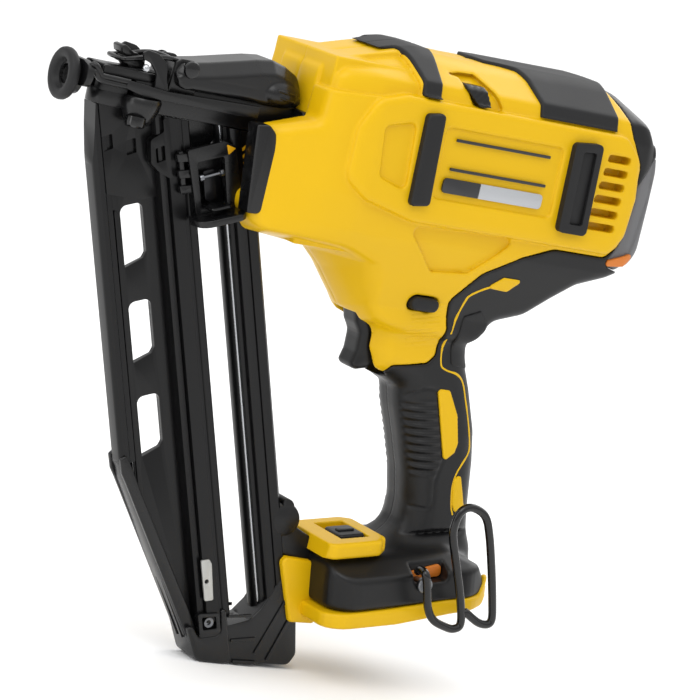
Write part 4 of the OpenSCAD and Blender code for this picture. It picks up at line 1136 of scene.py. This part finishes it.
def build_controls():
    g = Field((168, -10.5, -115), (211, 10.5, -84), 0.5)
    outline = rounded([(176.5, -83, 1), (178.6, -90, 3), (182.2, -95, 6), (182.5, -104, 6),
            (180.8, -110.8, 3), (184.5, -112.2, 3), (190.5, -110.8, 3), (194.5, -105, 4),
            (195.5, -99, 1), (209, -98, 0.5), (209, -91, 0.5), (196, -90, 1), (193, -86, 3),
            (190, -83, 1)], 2)
    body = both(g.side(outline), g.across - 8.6, 5)
    trigger = surface("trigger", g, body)
    keep(trigger, BLACK, "trigger", "trigger")
    low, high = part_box("lock_off_button")
    pill = box_outline((192.7, -76.7), (207.9, -70.1), 3.2)
    button = plate("lock_off_button", pill, low.y / MM, high.y / MM, bevel=1.6, segments=3)
    keep(button, RUBBER, "lock_off", "lock_off_button")
    # Stall release: a tab on the chamfer, with ridges across its slide
    g = Field((182, -40, 18), (210, -18, 40), 0.4)
    whole = casing_field(g)
    tab = both(both(whole - 1.6, g.side(RELEASE_TAB), 0.5), -(whole + 2.8), 0.2)
    u, _ = g.local((196, 0, 29), -50)
    tab = tab + 0.12 * np.cos(2 * math.pi * u / 2.3) * (whole > -0.6)
    keep(surface("stall_release", g, tab), BLACK, "stall_release", "stall_release")


def build_foot():
    skirt_plan = rounded(doubled([(-4, -38.6, 13), (75, -38.6, 12), (89.5, -30, 10)]), 3)
    g = Field((180, -41, -236), (282, 1.6, -186), 0.7)
    u, w = g.local(FOOT_CORNER, FOOT_RISE)
    base = both(outline_distance(rounded([(-4, -2.8, 2), (-4, 4.6, 1.2), (30, 5.4, 5),
            (60, 7.2, 5), (80, 7.3, 2), (86, 15, 2), (90, 15.5, 3), (91.5, 9, 5), (84, 1.2, 4),
            (64, 0.2, 5), (34, -2.6, 5)], 1), u, w), outline_distance(skirt_plan, u, g.y), 1.6)
    mouth = both(both(10 - u, g.across - 27, 1), w - 40)
    base = cut(base, mouth, 0.6)
    grooves = both(both(10 - u, g.across - 31), both(3 - w, w - 12))
    base = cut(base, grooves, 0.3)
    pair("foot_skirt", g, left_half(g, base), YELLOW, ["foot_skirt"])
    # Selector block with its sloping faces
    g = Field((180, -34, -208), (224, 16, -184), 0.5)
    u, w = g.local(FOOT_CORNER, FOOT_RISE)
    plan = outline_distance(rounded([(-3, -23, 4), (2, -29.5, 5), (27, -29.5, 5), (33.5, -23, 4),
            (33.5, 9, 4), (28, 13.5, 4), (1, 13.5, 4), (-3, 8, 4)], 3), u, g.y)
    block = both(plan, np.abs(w - 32.8) - 3.9, 2.2)
    slot = both(both(np.abs(u - 18) - 7.6, np.abs(g.y + 7.5) - 13.2), 30.8 - w)
    block = cut(block, slot, 0.6)
    hole = np.sqrt((u - 31.2) ** 2 + (g.y + 26) ** 2) - 2.0
    block = cut(block, both(hole, 31.5 - w), 0.4)
    keep(surface("mode_block", g, block), YELLOW, "frame", "mode_block")
    button = plate("mode_button", box_outline((11, -18), (25, -2), 2), 31, 37.2, "z", bevel=1.2,
        segments=3, place=IN_FOOT)
    ridge = plate("mode_ridge", box_outline((13.5, -12), (22.5, -8), 1), 36.8, 38.2, "z",
        bevel=0.6, place=IN_FOOT)
    keep(join("mode_button", [button, ridge]), BLACK, "mode_button", "mode_button")
    # Yellow bracket that joins the magazine to the foot
    bracket = plate("bracket", rounded([(165, -204, 3), (182, -204.6, 2), (187.5, -208, 2),
            (193.5, -232, 1.5), (191, -235, 2), (178, -235.4, 2)], 2), -12, 12, bevel=1.4,
        segments=3)
    keep(bracket, YELLOW, "frame", "magazine_bracket")
    arm = plate("foot_arm", rounded([(161, -176, 4), (167.5, -178, 4), (171.5, -190, 3),
            (186, -196, 3), (190, -203, 2), (188, -208, 1), (166, -203.5, 1)], 2), -8.5, 8.5,
        bevel=1.6, segments=3)
    knob = lathe("foot_knob", doubled([(0, -9.6), (5.4, -9.6), (7.6, -8.4), (8.2, -6.8)]),
        (164.8, 0, -187.5), (0, 1, 0), 40)
    keep(join("magazine_knob", [arm, knob]), BLACK, "frame", None)


def build_hook():
    y = -49
    loop = [(221.6, -196.2), (224, -201.8), (227.4, -212.0), (232, -217.6), (239, -220.2),
        (244.6, -220.9), (247.8, -217.9), (244.7, -207.2), (238.7, -193.1), (232.5, -179.1),
        (230.9, -172), (232.6, -164.6), (238.2, -161.8), (246.5, -164.9), (251.6, -173.5),
        (258.1, -191.2), (263.2, -207.3), (264.8, -214.5), (262.8, -217.1), (257.2, -216.5),
        (249.1, -212.3)]
    path = [(224.6, -38, -197.6), (222.4, -43, -195.6)] + [(x, y, z) for x, z in loop]
    wire = tube("belt_hook", smooth_path(path, 7), 2.0, 20)
    keep(wire, GLOSS_WIRE, "frame", "belt_hook")
    spot = IN_FOOT @ Vector((47, 0, 16.5))
    head = lathe("belt_hook_screw", [(0, 1.0), (1.5, 1.0), (1.7, 2.0), (3.4, 2.4), (3.9, 1.8),
            (4.0, 0.2), (2.2, 0), (2.0, -9), (0, -9)], (spot.x, -38.1, spot.z), (0, -1, 0), 32)
    keep(head, SPRING, "frame", "belt_hook_screw")
    # Orange-yellow liner seen inside the hook's slot
    liner = plate("hook_slot_liner", rounded([(41.5, 16.4), (60.5, 17.4), (60.5, 23.6),
            (36.5, 19.6)], 2.2), -31.2, -29.4, bevel=0.3, place=IN_FOOT)
    keep(liner, GLOW, "frame", None)


def build_casing_screws():
    """Screws that hold the shells together, with recessed heads."""
    screws = []
    for x, z, reach in ((135, -48, 23), (115, -36, 26), (170, -66, 14), (238, -68, 14)):
        screws.append(lathe("screw", [(0, 1 - reach), (0.7, 0.8 - reach), (0.9, -reach),
                (2.6, -0.2 - reach), (2.9, 0.6 - reach), (2.9, 2 - reach), (1.5, 2.2 - reach),
                (1.45, reach - 3), (0.6, reach), (0, reach)], (x, 0, z), (0, 1, 0), 32))
    keep(join("casing_screws", screws), STEEL, "frame", "casing_screws")


def finish_inner_nodes():
    """CAD nodes that stay as they are get the finish of their material slot."""
    finishes = {"bright_steel": STEEL, "spring_steel": SPRING, "cast_metal": CAST,
        "copper": COPPER, "black_plastic": BLACK, "grey_plastic": GREY, "soft_rubber": RUBBER,
        "black_metal": PAINTED, "casing_yellow": YELLOW, "label": LABEL_DARK}
    slots = {entry["node"]: entry["material_slot"] for entry in frame["record"]["subparts"]}
    for name, thing in frame["nodes"].items():
        thing.data.materials.clear()
        thing.data.materials.append(finishes.get(slots.get(name), CAST))


build_casing_screws()
build_magazine()
build_end_cap()
build_pusher()
build_collar()
build_trip()
build_nose()
build_lever()
build_controls()
build_foot()
build_hook()
finish_inner_nodes()

# ---------------------------------------------------------------- stage

FLOOR_Z = cad_size[0][2] - 0.0004
SKY_LOW, SKY_HIGH = 0.62, 1.4
MIDDLE = (0.17, 0, -0.09)
CAMERA_PLACE, CAMERA_LENS = (-0.80548, -1.52213, 0.15410), 200.57
CAMERA_AZIMUTH, CAMERA_ELEVATION, CAMERA_ROLL = 33.0, 8.1, 13.55


def build_stage():
    bm = bmesh.new()
    bmesh.ops.create_grid(bm, x_segments=8, y_segments=8, size=120)
    bmesh.ops.translate(bm, vec=(0, 0, FLOOR_Z), verts=bm.verts)
    floor = from_bmesh("studio_floor", bm)
    floor.data.materials.append(finish_material("studio_floor", linear(250, 250, 250), 0.85,
            grain=40, depth=0.02, mottle=0.01, specular=0.1))
    world = bpy.data.worlds.new("studio")
    bpy.context.scene.world = world
    world.use_nodes = True
    nodes, links = world.node_tree.nodes, world.node_tree.links
    sky = nodes["Background"]
    where = nodes.new("ShaderNodeTexCoord")
    split = nodes.new("ShaderNodeSeparateXYZ")
    rise = nodes.new("ShaderNodeMapRange")
    for socket, value in (("From Min", 0.0), ("From Max", 0.9), ("To Min", SKY_LOW),
            ("To Max", SKY_HIGH)):
        rise.inputs[socket].default_value = value
    links.new(where.outputs["Generated"], split.inputs["Vector"])
    links.new(split.outputs["Z"], rise.inputs["Value"])
    links.new(rise.outputs["Result"], sky.inputs["Strength"])
    sky.inputs["Color"].default_value = (1, 1, 1, 1)


def area_light(name, place, size, power):
    """A soft light aimed at the middle of the tool."""
    light = bpy.data.lights.new(name, "AREA")
    light.shape = "RECTANGLE"
    light.size, light.size_y = size
    light.energy = power
    lamp = bpy.data.objects.new(name, light)
    bpy.context.scene.collection.objects.link(lamp)
    lamp.location = place
    lamp.rotation_mode = "QUATERNION"
    lamp.rotation_quaternion = (Vector(MIDDLE) - Vector(place)).to_track_quat("-Z", "Y")


def build_lights():
    area_light("key", (-0.7, -0.9, 1.3), (1.2, 1.0), 9)
    area_light("rim", (1.3, 0.6, 0.9), (0.7, 1.2), 6)
    area_light("front_strip", (-1.3, -0.2, 0.2), (0.3, 1.2), 3)


def build_camera():
    """A long lens to the front left, turned a little about its own axis."""
    azimuth, elevation, roll = map(math.radians, (CAMERA_AZIMUTH, CAMERA_ELEVATION, CAMERA_ROLL))
    forward = Vector((math.sin(azimuth) * math.cos(elevation),
            math.cos(azimuth) * math.cos(elevation), -math.sin(elevation)))
    level = Vector((math.cos(azimuth), -math.sin(azimuth), 0))
    upright = level.cross(forward)
    right = level * math.cos(roll) + upright * math.sin(roll)
    up = upright * math.cos(roll) - level * math.sin(roll)
    data = bpy.data.cameras.new("camera")
    data.sensor_width = 36
    data.lens = CAMERA_LENS
    camera = bpy.data.objects.new("camera", data)
    bpy.context.scene.collection.objects.link(camera)
    turn = Matrix((right, up, -forward)).transposed().to_4x4()
    camera.matrix_world = Matrix.Translation(CAMERA_PLACE) @ turn
    data.clip_start, data.clip_end = 0.1, 50
    bpy.context.scene.camera = camera


build_stage()
build_lights()
build_camera()
bpy.context.scene.view_settings.view_transform = "Standard"
